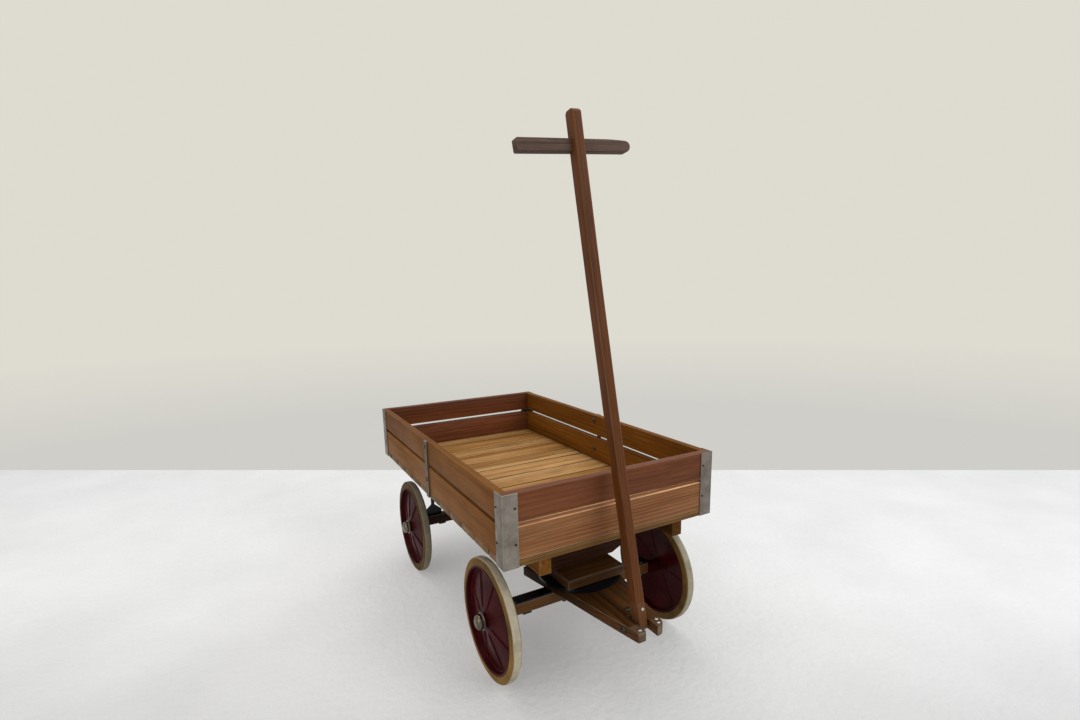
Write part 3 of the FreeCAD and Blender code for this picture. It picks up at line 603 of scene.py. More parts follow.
class Workpiece:
    """A mesh on its way to becoming one finished piece."""

    def __init__(self) -> None:
        """Start an empty mesh with a mark on its faces for wear, which below zero darkens metal as
        painted shade.
        """
        self.bm = bmesh.new()
        self.worn = self.bm.faces.layers.float.new("worn")

    def block(self, low: Point, high: Point) -> list[bmesh.types.BMVert]:
        """Add a block.

        Args:
            low: Its lowest corner.
            high: Its highest corner.

        Returns:
            Its vertices.
        """
        made = bmesh.ops.create_cube(self.bm, size=1.0)["verts"]
        size = Vector(high) - Vector(low)
        middle = (Vector(high) + Vector(low)) / 2
        bmesh.ops.scale(self.bm, vec=size, verts=made)
        bmesh.ops.translate(self.bm, vec=middle, verts=made)
        return made

    def slab(self, outline: Sequence[tuple[float, float]], axis: Axis, start: float,
             depth: float) -> list[bmesh.types.BMVert]:
        """Extrude a flat outline along an axis, and face the mesh outwards.

        Args:
            outline: Corners in the plane across the axis, in X, Y, Z order.
            axis: The direction of the extrusion.
            start: Where it starts along the axis.
            depth: How far it goes.

        Returns:
            Its vertices.
        """
        corners = []
        for pair in outline:
            spot = list(pair)
            spot.insert(axis.value, start)
            corners.append(self.bm.verts.new(spot))
        face = self.bm.faces.new(corners)
        pulled = bmesh.ops.extrude_face_region(self.bm, geom=[face])["geom"]
        far = [item for item in pulled if isinstance(item, bmesh.types.BMVert)]
        way = [0.0, 0.0, 0.0]
        way[axis.value] = depth
        bmesh.ops.translate(self.bm, vec=way, verts=far)
        bmesh.ops.recalc_face_normals(self.bm, faces=self.bm.faces[:])
        return corners + far

    def turn(self, profile: Sequence[tuple[float, float, float]], steps: int = 64,
             hub: Point = (0, 0, 0)) -> list[bmesh.types.BMVert]:
        """Spin a closed profile round an axis along X.

        Args:
            profile: Place along X, radius and corner rounding for each corner.
            steps: How many steps make the full turn.
            hub: The point on the axis that the profile is measured from.

        Returns:
            The vertices of the turned shape.
        """
        before = set(self.bm.verts)
        edges = self.section(profile, hub)
        bmesh.ops.spin(self.bm, geom=edges + self.ends(edges), cent=hub, axis=(1, 0, 0),
                       angle=math.tau, steps=steps, use_merge=True)
        made = [v for v in self.bm.verts if v not in before]
        bmesh.ops.remove_doubles(self.bm, verts=made, dist=1e-6)
        made = [v for v in self.bm.verts if v not in before]
        faces = [f for f in self.bm.faces if f.verts[0] not in before]
        bmesh.ops.recalc_face_normals(self.bm, faces=faces)
        return made

    def section(self, profile: Sequence[tuple[float, float, float]],
                hub: Point) -> list[bmesh.types.BMEdge]:
        """Lay out a closed profile with rounded corners in the plane above the axis.

        Args:
            profile: Place along X, radius and corner rounding for each corner.
            hub: The point on the axis that the profile is measured from.

        Returns:
            The edges of the profile.
        """
        before = set(self.bm.faces)
        corners = [self.bm.verts.new((hub[0] + x, hub[1], hub[2] + r)) for x, r, _ in profile]
        self.bm.faces.new(corners)
        for corner, (_, _, radius) in zip(corners, profile):
            if radius > 0:
                bmesh.ops.bevel(self.bm, geom=[corner], offset=radius, offset_type="OFFSET",
                                segments=4, profile=0.5, affect="VERTICES",
                                clamp_overlap=True, material=-1)
        face = next(f for f in self.bm.faces if f not in before)
        edges = list(face.edges)
        bmesh.ops.delete(self.bm, geom=[face], context="FACES_ONLY")
        return edges

    @staticmethod
    def ends(edges: Iterable[bmesh.types.BMEdge]) -> list[bmesh.types.BMVert]:
        """Give the vertices that a set of edges stands on."""
        return list({v for edge in edges for v in edge.verts})

    def stud(self, spot: Point, way: Point, radius: float, height: float, head: Head,
             shank: float = 0.0) -> None:
        """Add a fastener's head on a face.

        Args:
            spot: The middle of the head's seat.
            way: The direction the head stands out in.
            radius: The head's radius.
            height: How far it stands out.
            head: Its shape.
            shank: The radius of a bolt end that shows through a nut, or none.
        """
        sides = 6 if head is Head.HEX else 20
        made = bmesh.ops.create_cone(self.bm, cap_ends=True, segments=sides, radius1=radius,
                                     radius2=radius, depth=height)["verts"]
        bmesh.ops.translate(self.bm, vec=(0, 0, height / 2), verts=made)
        top = [e for e in self.ends_edges(made) if all(v.co.z > height * 0.9 for v in e.verts)]
        share = 0.12 if head is Head.HEX else 0.85
        bevelled = bmesh.ops.bevel(self.bm, geom=top, offset=height * share,
                                   offset_type="OFFSET", segments=2 if head is Head.HEX else 5,
                                   profile=0.5, affect="EDGES", material=-1)
        made = list({v for v in made if v.is_valid} | set(bevelled["verts"]))
        if head is Head.SLOTTED:
            made += self.slot_of(radius, height)
        if shank > 0:
            tip = bmesh.ops.create_cone(self.bm, cap_ends=True, segments=16, radius1=shank,
                                        radius2=shank * 0.8, depth=height * 1.5)["verts"]
            bmesh.ops.translate(self.bm, vec=(0, 0, height * 0.75), verts=tip)
            made += tip
        turn = Vector(way).to_track_quat("Z", "Y").to_matrix()
        bmesh.ops.rotate(self.bm, cent=(0, 0, 0), matrix=turn, verts=made)
        bmesh.ops.translate(self.bm, vec=spot, verts=made)

    def slot_of(self, radius: float, height: float) -> list[bmesh.types.BMVert]:
        """Add the dark bar that reads as a screw's slot, a hair above its dome."""
        return self.block((-radius * 0.72, -radius * 0.09, height * 0.9),
                          (radius * 0.72, radius * 0.09, height * 1.02))

    @staticmethod
    def ends_edges(verts: Iterable[bmesh.types.BMVert]) -> list[bmesh.types.BMEdge]:
        """Give the edges that touch a set of vertices."""
        return list({edge for v in verts for edge in v.link_edges})

    def slice(self, axis: Axis, step: float) -> None:
        """Cut the mesh across an axis, so that its long edges can waver.

        Args:
            axis: The axis that the cuts stand across.
            step: About how far apart they are.
        """
        places = [v.co[axis.value] for v in self.bm.verts]
        low, high = min(places), max(places)
        count = int((high - low) / step)
        normal = [0.0, 0.0, 0.0]
        normal[axis.value] = 1.0
        for index in range(1, count):
            spot = [0.0, 0.0, 0.0]
            spot[axis.value] = low + (high - low) * index / count
            geom = self.bm.verts[:] + self.bm.edges[:] + self.bm.faces[:]
            bmesh.ops.bisect_plane(self.bm, geom=geom, dist=1e-6, plane_co=spot, plane_no=normal)

    def ease(self, width: float, segments: int = 2, angle: float = 0.6) -> None:
        """Round every sharp edge and mark the rounding as worn.

        Args:
            width: How far the rounding reaches from the edge.
            segments: Its steps.
            angle: The angle between two faces past which their edge is sharp.
        """
        sharp = [e for e in self.bm.edges
                 if len(e.link_faces) == 2 and e.calc_face_angle(0.0) > angle]
        made = bmesh.ops.bevel(self.bm, geom=sharp, offset=width, offset_type="OFFSET",
                               segments=segments, profile=0.5, affect="EDGES",
                               clamp_overlap=True, material=-1)
        for face in made["faces"]:
            face[self.worn] = 1.0

    def soften(self, edges: Sequence[bmesh.types.BMEdge], radius: float,
               segments: int = 5) -> None:
        """Round some edges, without a mark of wear."""
        bmesh.ops.bevel(self.bm, geom=list(edges), offset=radius, offset_type="OFFSET",
                        segments=segments, profile=0.5, affect="EDGES", material=-1)

    def weather(self, amount: float, seed: float) -> None:
        """Sink the surface unevenly, as age does.

        Args:
            amount: How far it sinks at most.
            seed: Where the unevenness is taken from, so that no two pieces are alike.
        """
        self.bm.normal_update()
        moves = []
        for v in self.bm.verts:
            place = v.co * 9.0 + Vector((seed, seed * 1.7, seed * 0.3))
            moves.append((v, (noise.noise(place) * 0.5 + 0.5) * amount))
        for v, depth in moves:
            v.co -= v.normal * depth

    def finish(self, name: str, finish: Finish, node: str | None = None,
               body: str | None = None, slot: str | None = None,
               place: Matrix | None = None, smooth: float = 0.7) -> bpy.types.Object:
        """Make the object, dress it and hand it to the frame.

        Args:
            name: The piece's name.
            finish: Its finish.
            node: The frame node it stands for, which also gives the body.
            body: The body it rides on, when it stands for no node.
            slot: The record's material slot, when it stands for no node; not used.
            place: Where the mesh goes, as a matrix applied to it.
            smooth: The angle below which shading runs across an edge.

        Returns:
            The finished object.
        """
        if place is not None:
            bmesh.ops.transform(self.bm, matrix=place, verts=self.bm.verts[:])
        mesh = bpy.data.meshes.new(name)
        for face in self.bm.faces:
            face.smooth = True
        self.bm.to_mesh(mesh)
        self.bm.free()
        mesh.set_sharp_from_angle(angle=smooth)
        piece = bpy.data.objects.new(name, mesh)
        bpy.context.scene.collection.objects.link(piece)
        SHOP.coat(piece, finish)
        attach(piece, body or BODY_OF[node])
        if node:
            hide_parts(node)
        LOG.info("%s: %d faces on %s", name, len(mesh.polygons), body or BODY_OF[node])
        return piece


def mark(piece: bpy.types.Object, name: str, values: Sequence[float]) -> None:
    """Write one number for each vertex of a piece."""
    layer = piece.data.attributes.new(name, "FLOAT", "POINT")
    layer.data.foreach_set("value", values)


@dataclass
class Sawyer:
    """Lays the grain of each timber, so that no two pieces repeat."""

    dice: random.Random = field(default_factory=lambda: random.Random(41))
    wall_inside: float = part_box("right_plank_lower")[0].x - 0.001
    front_inside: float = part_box("front_plank_lower")[1].y
    # shares of tone for painted shade under the walls and down the sides of the floor boards
    shade_under_walls: float = 0.36
    shade_in_gaps: float = 0.3
    # tone along the top edge, a painted highlight
    lit_top_tone: float = 2.4
    # share of tone left at the drawbar's ring end, painted shade there
    oiled: float = 0.3

    def grain(self, piece: bpy.types.Object, turn: Matrix, tone: float,
              shade: Shade = Shade.EVEN) -> None:
        """Write the grain and the tone of a timber.

        Args:
            piece: The finished timber.
            turn: Takes a place in the wagon to along, across and deep in the piece.
            tone: Its shade, where 1 leaves the finish as it is.
            shade: How the shade changes over the piece.
        """
        shift = Vector((self.dice.uniform(0, 9), self.dice.uniform(-0.05, 0.05),
                        self.dice.uniform(0.035, 0.12)))
        tilt = Matrix.Rotation(self.dice.uniform(-0.012, 0.012), 4, "Z")
        layer = piece.data.attributes.new("grain", "FLOAT_VECTOR", "POINT")
        for at, vertex in zip(layer.data, piece.data.vertices):
            at.vector = tilt @ (turn @ vertex.co) + shift
        low, high = Vector(piece.bound_box[0]), Vector(piece.bound_box[6])
        mark(piece, "tone", [tone * self.share(shade, vertex.co, low, high)
                             for vertex in piece.data.vertices])

    def share(self, shade: Shade, spot: Vector, low: Vector, high: Vector) -> float:
        """Give the share of its tone that a timber has at one place.

        Args:
            shade: How the shade changes over the piece.
            spot: The place.
            low: The piece's lowest corner.
            high: Its highest corner.

        Returns:
            The share, where 1 leaves the tone as it is.
        """
        # painted shade under the walls and in the gaps between the boards
        if shade is Shade.FLOOR:
            under = abs(spot.x) > self.wall_inside or spot.y < self.front_inside
            return self.shade_under_walls if under else self.shade_in_gaps if spot.z < high.z - 0.0012 else 1.0
        # painted highlight along the top edge
        if shade is Shade.LIT_TOP:
            return self.lit_top_tone if spot.z > high.z - 0.0016 else 1.0
        # painted shade: the drawbar darkens towards its ring end
        if shade is Shade.OILED:
            near = 1 - (spot.y - low.y) / (high.y - low.y)
            return self.oiled + (1 - self.oiled) * min(1.0, max(0.0, 2.6 * near - 1.1))
        return 1.0

    @staticmethod
    def along(axis: Axis, middle: Point) -> Matrix:
        """Give the turn for a timber that runs along a frame axis.

        Args:
            axis: The axis it runs along.
            middle: The middle of the piece.

        Returns:
            What takes a place in the wagon to along, across and deep in the piece.
        """
        turns = {Axis.X: Matrix.Identity(4), Axis.Y: Matrix.Rotation(-math.pi / 2, 4, "Z"),
                 Axis.Z: Matrix.Rotation(math.pi / 2, 4, "Y")}
        return turns[axis] @ Matrix.Translation(-Vector(middle))


SAWYER = Sawyer()


@dataclass
class Board:
    """A square-edged timber that stands for one frame node."""

    node: str
    axis: Axis
    finish: Wood
    tone: float = 0.5
    edge: float = 0.0012
    age: float = 0.0005
    shade: Shade = Shade.EVEN

    def build(self) -> bpy.types.Object:
        """Build, round, age and dress the timber.

        Returns:
            The finished board.
        """
        low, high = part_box(self.node)
        work = Workpiece()
        work.block(low, high)
        work.ease(self.edge)
        work.slice(self.axis, 0.03)
        work.weather(self.age, SAWYER.dice.uniform(0, 40))
        piece = work.finish(self.node + "_timber", self.finish, self.node)
        SAWYER.grain(piece, SAWYER.along(self.axis, (low + high) / 2), self.tone, self.shade)
        return piece


# ---- the box ----

@dataclass
class CargoBox:
    """The open box: floor boards, planks, corner angles, straps and their fasteners."""

    tones: tuple[float, ...] = (1.1, 1.0, 1.12, 0.94, 1.05, 0.9, 1.0, 0.86, 0.92, 0.8, 0.84,
                                0.72)
    leg: float = 0.030
    sheet: float = 0.002
    # wear mark below zero that paints shade on the angles' darker faces
    shaded_side: float = -0.5
    nail_in: float = 0.024
    nail_radius: float = 0.0024
    nail_high: float = 0.0012
    board_nail_high: float = 0.001
    board_nail_sunk: float = 0.0008
    bolt_drop: float = 0.014
    bolt_radius: float = 0.006
    bolt_high: float = 0.0034
    nut_high: float = 0.0038
    shank: float = 0.0025
    low: Vector = field(default_factory=Vector)
    high: Vector = field(default_factory=Vector)

    def build(self) -> None:
        """Build the whole box."""
        self.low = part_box("front_plank_lower")[0]
        self.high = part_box("rear_plank_upper")[1]
        for index, tone in enumerate(self.tones, start=1):
            # the floor boards carry painted shade under the walls and in their gaps
            Board(f"floor_board_{index}", Axis.X, FLOOR_WOOD, tone, edge=0.0016,
                  shade=Shade.FLOOR).build()
        for level, tone in (("lower", 1.04), ("upper", 0.98)):
            for side in ("left", "right"):
                Board(f"{side}_plank_{level}", Axis.Y, SIDE_WOOD, tone).build()
            Board(f"rear_plank_{level}", Axis.X, END_WOOD, tone + 0.1).build()
        Board("front_plank_upper", Axis.X, END_WOOD, 1.0).build()
        # the lower front plank's top edge carries a painted highlight
        Board("front_plank_lower", Axis.X, LINED_WOOD, 1.0, edge=0.002,
              shade=Shade.LIT_TOP).build()
        self.angles()
        self.straps()
        self.nails()
        self.strap_bolts()

    def angles(self) -> None:
        """Fold a thin aluminium angle round each corner."""
        for end in ("front", "rear"):
            for side in Side:
                node = f"corner_angle_{end}_{side.name.lower()}"
                low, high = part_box(node)
                x = low.x if side is Side.LEFT else high.x
                y = low.y if end == "front" else high.y
                sx, sy = -side.value, 1 if end == "front" else -1
                leg, sheet = self.leg + self.sheet, self.sheet
                outline = [(x, y), (x + sx * leg, y), (x + sx * leg, y + sy * sheet),
                           (x + sx * sheet, y + sy * sheet), (x + sx * sheet, y + sy * leg),
                           (x, y + sy * leg)]
                work = Workpiece()
                work.slab(outline, Axis.Z, low.z, high.z - low.z)
                work.ease(0.0007)
                # painted shade: the side faces of the angles and the whole right-hand angles are
                # darkened
                for face in work.bm.faces:
                    if abs(face.normal.x) > 0.9 or side is Side.RIGHT:
                        face[work.worn] = self.shaded_side
                work.slice(Axis.Z, 0.012)
                work.weather(0.0005, SAWYER.dice.uniform(0, 40))
                work.finish(node + "_sheet", ALUMINIUM, node)

    def straps(self) -> None:
        """Lay a flat steel strap down the middle of each long side."""
        for side in ("left", "right"):
            node = f"side_strap_{side}"
            work = Workpiece()
            work.block(*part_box(node))
            work.ease(0.0009)
            work.slice(Axis.Z, 0.02)
            work.weather(0.0004, SAWYER.dice.uniform(0, 40))
            work.finish(node + "_bar", STRAP_STEEL, node)

    def levels(self) -> list[float]:
        """Give the middle heights of the lower and the upper planks."""
        boxes = [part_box(f"left_plank_{level}") for level in ("lower", "upper")]
        return [(low.z + high.z) / 2 for low, high in boxes]

    def nails(self) -> None:
        """Drive the nails of the corner angles and of the floor boards."""
        work = Workpiece()
        for side in Side:
            for end in (self.low.y, self.high.y):
                into = 1 if end == self.low.y else -1
                for height in self.levels():
                    wall = side.value * (self.high.x + self.sheet)
                    work.stud((wall, end + into * self.nail_in, height), (side.value, 0, 0),
                              self.nail_radius, self.nail_high, Head.DOME)
                    work.stud((side.value * (self.high.x - self.nail_in),
                               end - into * self.sheet, height), (0, -into, 0),
                              self.nail_radius, self.nail_high, Head.DOME)
        for index in range(1, len(self.tones) + 1):
            low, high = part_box(f"floor_board_{index}")
            for rail in ("left", "right"):
                x = sum(corner.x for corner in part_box("rail_" + rail)) / 2
                work.stud((x, (low.y + high.y) / 2, high.z - self.board_nail_sunk), (0, 0, 1),
                          self.nail_radius, self.board_nail_high, Head.DOME)
        work.finish("nail_heads", NAIL_STEEL, "nails")

    def strap_bolts(self) -> None:
        """Put the strap's round bolt heads outside and their nuts inside."""
        work = Workpiece()
        middle = (self.low.y + self.high.y) / 2
        for side in Side:
            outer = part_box(f"side_strap_{side.name.lower()}")
            face = outer[0].x if side is Side.LEFT else outer[1].x
            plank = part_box(f"{side.name.lower()}_plank_upper")
            inner = plank[1].x if side is Side.LEFT else plank[0].x
            for height in (self.high.z - self.bolt_drop, self.levels()[0]):
                work.stud((face, middle, height), (side.value, 0, 0), self.bolt_radius,
                          self.bolt_high, Head.DOME)
                work.stud((inner, middle, height), (-side.value, 0, 0), self.bolt_radius,
                          self.nut_high, Head.HEX, self.shank)
        work.finish("strap_bolt_heads", STRAP_STEEL, "strap_bolts")


# ---- the frame and the truck ----

@dataclass
class Undercarriage:
    """The rails, the bolster and the board, and the wood of both axles."""

    bolster_flat: float = 0.164
    bolster_end: float = 0.029

    def build(self) -> None:
        """Build the timbers and dress the steel that stays."""
        # the low tones darken the rails and truck timbers, partly their own darker wood and partly
        # painted shade under the box
        Board("rail_left", Axis.Y, SIDE_WOOD, 0.8, edge=0.002).build()
        Board("rail_right", Axis.Y, SIDE_WOOD, 0.5, edge=0.002).build()
        Board("turntable_board", Axis.X, TRUCK_WOOD, 0.62, edge=0.003, age=0.0012).build()
        Board("rear_axle_beam", Axis.X, FRAME_WOOD, 0.8, edge=0.002, age=0.0008).build()
        Board("front_axle_beam", Axis.X, TRUCK_WOOD, 1.1, edge=0.002, age=0.0008).build()
        self.bolster()
        nodes = frame["nodes"]
        for finish, names in (
                (BLACK_IRON, ("upper_ring", "lower_ring", "front_axle_iron")),
                (GREEN_IRON, ("rear_axle_stands", "front_axle_keepers", "rear_axle_keepers")),
                (DULL_STEEL, ("front_axle_rod", "rear_axle_rod", "frame_screws", "king_bolt"))):
            for name in names:
                SHOP.coat(nodes[name], finish)

    def bolster(self) -> None:
        """Saw the bolster, which narrows towards the ring."""
        low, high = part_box("bolster")
        flat, shoulder = self.bolster_flat / 2, high.z - self.bolster_end
        outline = [(-flat, low.z), (flat, low.z), (high.x, shoulder), (high.x, high.z),
                   (low.x, high.z), (low.x, shoulder)]
        work = Workpiece()
        work.slab(outline, Axis.Y, low.y, high.y - low.y)
        work.ease(0.002)
        work.slice(Axis.X, 0.03)
        work.weather(0.0008, 3.0)
        piece = work.finish("bolster_timber", FRAME_WOOD, "bolster")
        SAWYER.grain(piece, SAWYER.along(Axis.X, (low + high) / 2), 0.9)


@dataclass
class Truck:
    """The steered drawbar with its fork, and the bolts that hold the truck together."""

    fork: float = 0.064
    slot: float = 0.0264
    slot_past_shaft: float = 0.0325
    right_tip: float = 0.014
    left_tip: float = 0.003
    worn_end: float = 0.012
    end_grain_wear: float = 2.5
    bolt_radius: float = 0.006
    bolt_high: float = 0.0035
    nut_high: float = 0.004
    shank: float = 0.0025
    bolts_ahead: float = 0.008
    outer_bolt: float = 0.170
    inner_bolt: float = 0.045
    fork_bolt: float = 0.075
    ear_screws: tuple[tuple[float, float], ...] = ((-0.0235, 0.008), (0.0225, 0.010),
                                                   (0.0262, 0.021))
    screw_radius: float = 0.0042
    screw_high: float = 0.0026
    hinge_head: float = 0.009
    hinge_radius: float = 0.004
    low: Vector = field(default_factory=Vector)
    high: Vector = field(default_factory=Vector)

    def build(self) -> None:
        """Build the drawbar and its fasteners."""
        self.low, self.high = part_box("drawbar")
        self.drawbar()
        self.bolts()
        self.hinge_bolt()

    def drawbar(self) -> None:
        """Saw the tapered drawbar, slot its fork and round the fork's tips."""
        low, high = self.low, self.high
        half, slot = self.fork / 2, self.slot / 2
        slot_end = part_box("handle_shaft")[0].y + self.slot_past_shaft
        outline = [(low.x, high.y), (-half, low.y), (-slot, low.y), (-slot, slot_end),
                   (slot, slot_end), (slot, low.y), (half, low.y), (high.x, high.y)]
        work = Workpiece()
        work.slab(outline, Axis.Z, low.z, high.z - low.z)
        tips = [e for e in work.bm.edges
                if all(v.co.y < low.y + 1e-5 for v in e.verts)
                and abs(e.verts[0].co.z - e.verts[1].co.z) > 0.01
                and abs(e.verts[0].co.x) > slot + 1e-4]
        right = [e for e in tips if e.verts[0].co.x > 0]
        left = [e for e in tips if e.verts[0].co.x < 0]
        work.soften(right, self.right_tip)
        work.soften(left, self.left_tip)
        work.ease(0.0018)
        work.slice(Axis.Y, 0.025)
        for face in work.bm.faces:
            depth = face.calc_center_median().y - low.y
            if depth < self.worn_end:
                face[work.worn] = 1.0
            if depth < 0.0005:
                face[work.worn] = self.end_grain_wear
        work.weather(0.001, 12.0)
        piece = work.finish("drawbar_timber", TRUCK_WOOD, "drawbar")
        # its tone is darkened towards the ring as painted shade
        SAWYER.grain(piece, SAWYER.along(Axis.Y, (low + high) / 2), 1.0, Shade.OILED)

    def bolts(self) -> None:
        """Set the axle bolts, the fork's bolt and the screws of its ears."""
        work = Workpiece()
        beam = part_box("front_axle_beam")
        iron_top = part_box("front_axle_iron")[1].z
        middle = (beam[0].y + beam[1].y) / 2 - self.bolts_ahead
        for side in Side:
            for x in (self.outer_bolt, self.inner_bolt):
                if x == self.outer_bolt:
                    self.bolt_head(work, (side.value * x, middle, iron_top))
                self.nut(work, (side.value * x, middle, beam[0].z))
        fork_y = self.low.y + self.fork_bolt
        self.bolt_head(work, (0, fork_y, self.high.z))
        self.nut(work, (0, fork_y, self.low.z))
        work.finish("truck_bolt_heads", DULL_STEEL, "truck_bolts")
        screws = Workpiece()
        for x, y in self.ear_screws:
            screws.stud((x, self.low.y + y, self.high.z - SCREW_SUNK), (0, 0, 1),
                        self.screw_radius, self.screw_high, Head.SLOTTED)
        screws.finish("fork_ear_screws", BRIGHT_STEEL, body="front_truck", slot="bright_steel")

    def bolt_head(self, work: Workpiece, spot: Point) -> None:
        """Set a bolt's round head, facing up."""
        work.stud(spot, (0, 0, 1), self.bolt_radius, self.bolt_high, Head.DOME)

    def nut(self, work: Workpiece, spot: Point) -> None:
        """Set a nut on a bolt's end, facing down."""
        work.stud(spot, (0, 0, -1), self.bolt_radius, self.nut_high, Head.HEX, self.shank)

    def hinge_bolt(self) -> None:
        """Make the hinge bolt across the fork, with a round head and a nut on a washer."""
        work = Workpiece()
        low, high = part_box("hinge_bolt")
        y, z = (low.y + high.y) / 2, (low.z + high.z) / 2
        head, tip, radius = high.x - self.hinge_head, low.x + 0.002, self.hinge_radius
        work.turn([(tip, 0, 0), (head, 0, 0), (head, radius, 0), (tip, radius, 0.001)], 24,
                  (0, y, z))
        work.stud((head, y, z), (1, 0, 0), 0.0075, 0.0085, Head.DOME)
        work.stud((low.x + self.hinge_head, y, z), (-1, 0, 0), 0.0075, 0.0015, Head.DOME)
        work.stud((low.x + 0.0078, y, z), (-1, 0, 0), 0.007, 0.0052, Head.HEX, radius)
        work.finish("hinge_bolt_steel", DULL_STEEL, "hinge_bolt")


# ---- the handle ----

@dataclass
class PullHandle:
    """The standing shaft and its crossbar, built upright and then leaned on the hinge."""

    lean: float = math.radians(3.9)
    pitch: float = math.radians(7.5)
    wide: float = 0.020
    deep: float = 0.025
    length: float = 0.961
    cut: float = 0.005
    bar_length: float = 0.240
    bar_high: float = 0.023
    bar_deep: float = 0.020
    bar_drop: float = 0.059
    bar_in: float = 0.012
    cant: float = math.radians(1.3)
    left_round: float = 0.0035
    right_round: float = 0.0105
    end_taper: float = 0.28
    bow: float = 0.003
    grimy_below: float = 0.05
    screw_radius: float = 0.004
    screw_high: float = 0.0018
    screw_gap: float = 0.012
    screw_in: float = 0.0012
    low_screw_up: float = 0.034
    low_screw_radius: float = 0.0034

    def stance(self) -> Matrix:
        """Give the place of the handle's own frame.

        Returns:
            A leaning frame with its origin on the hinge.
        """
        low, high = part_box("hinge_bolt")
        hinge = Vector((0, (low.y + high.y) / 2, (low.z + high.z) / 2))
        return (Matrix.Translation(hinge) @ Matrix.Rotation(-self.pitch, 4, "X")
                @ Matrix.Rotation(-self.lean, 4, "Y"))

    def build(self) -> None:
        """Build the shaft, the crossbar and the screws."""
        self.shaft()
        self.crossbar()
        self.screws()

    def shaft(self) -> None:
        """Plane the shaft, bevel its top and round its heel."""
        half, top, cut = self.deep / 2, self.length, self.cut
        outline = [(-half, 0.0), (-half, -half), (half, -half), (half, top - cut),
                   (half - cut, top), (-half + cut, top), (-half, top - cut)]
        work = Workpiece()
        work.slab(outline, Axis.X, -self.wide / 2, self.wide)
        heel = [e for e in work.bm.edges if all(v.co.z < -half + 1e-5 for v in e.verts)
                and abs(e.verts[0].co.x - e.verts[1].co.x) > 0.01]
        work.soften(heel, half * 0.98, 8)
        work.ease(0.0022, 3, 0.5)
        work.slice(Axis.Z, 0.03)
        for v in work.bm.verts:
            share = min(1.0, max(0.0, v.co.z / top))
            v.co.x -= self.bow * 4 * share * (1 - share)
        work.weather(0.0007, 7.0)
        for face in work.bm.faces:
            if face.calc_center_median().z < self.grimy_below:
                face[work.worn] = max(face[work.worn], 0.7)
        piece = work.finish("handle_shaft_timber", SHAFT_WOOD, "handle_shaft",
                            place=self.stance())
        turn = SAWYER.along(Axis.Z, (0, 0, 0)) @ self.stance().inverted()
        SAWYER.grain(piece, turn, 1.0)

    def crossbar(self) -> None:
        """Shape the crossbar with one squared and one rounded end."""
        reach, rise = self.bar_length / 2, self.bar_high / 2
        outline = [(-reach, -rise), (reach, -rise), (reach, rise), (-reach, rise)]
        work = Workpiece()
        work.slab(outline, Axis.Y, -self.bar_deep / 2, self.bar_deep)
        ends = [e for e in work.bm.edges if abs(e.verts[0].co.y - e.verts[1].co.y) > 0.01]
        for edge in ends:
            work.soften([edge], self.right_round if edge.verts[0].co.x > 0 else self.left_round)
        work.slice(Axis.X, 0.012)
        for v in work.bm.verts:
            past = (v.co.x - reach * 0.5) / (reach * 0.5)
            if past > 0 and v.co.z > 0:
                v.co.z *= 1 - self.end_taper * past * past
        work.ease(0.0026, 3, 0.8)
        work.weather(0.0008, 21.0)
        height = self.length - self.bar_drop
        back = self.deep / 2 - self.bar_in + self.bar_deep / 2
        place = (self.stance() @ Matrix.Translation((0, back, height))
                 @ Matrix.Rotation(-self.cant, 4, "Y"))
        piece = work.finish("handle_crossbar_timber", GRIP_WOOD, "handle_crossbar", place=place)
        SAWYER.grain(piece, SAWYER.along(Axis.X, (0, 0, 0)) @ place.inverted(), 1.0)

    def screws(self) -> None:
        """Drive two screws through the crossbar and one low in the shaft's front."""
        work = Workpiece()
        height = self.length - self.bar_drop
        back = self.deep / 2 - self.bar_in + self.bar_deep
        for step in (-self.screw_gap / 2, self.screw_gap / 2):
            work.stud((0, back - self.screw_in, height + step), (0, 1, 0), self.screw_radius,
                      self.screw_high, Head.SLOTTED)
        work.stud((0.002, SCREW_SUNK - self.deep / 2, self.low_screw_up), (0, -1, 0),
                  self.low_screw_radius, self.screw_high, Head.SLOTTED)
        work.finish("handle_screw_heads", BRIGHT_STEEL, "handle_screws", place=self.stance())


# ---- the wheels ----

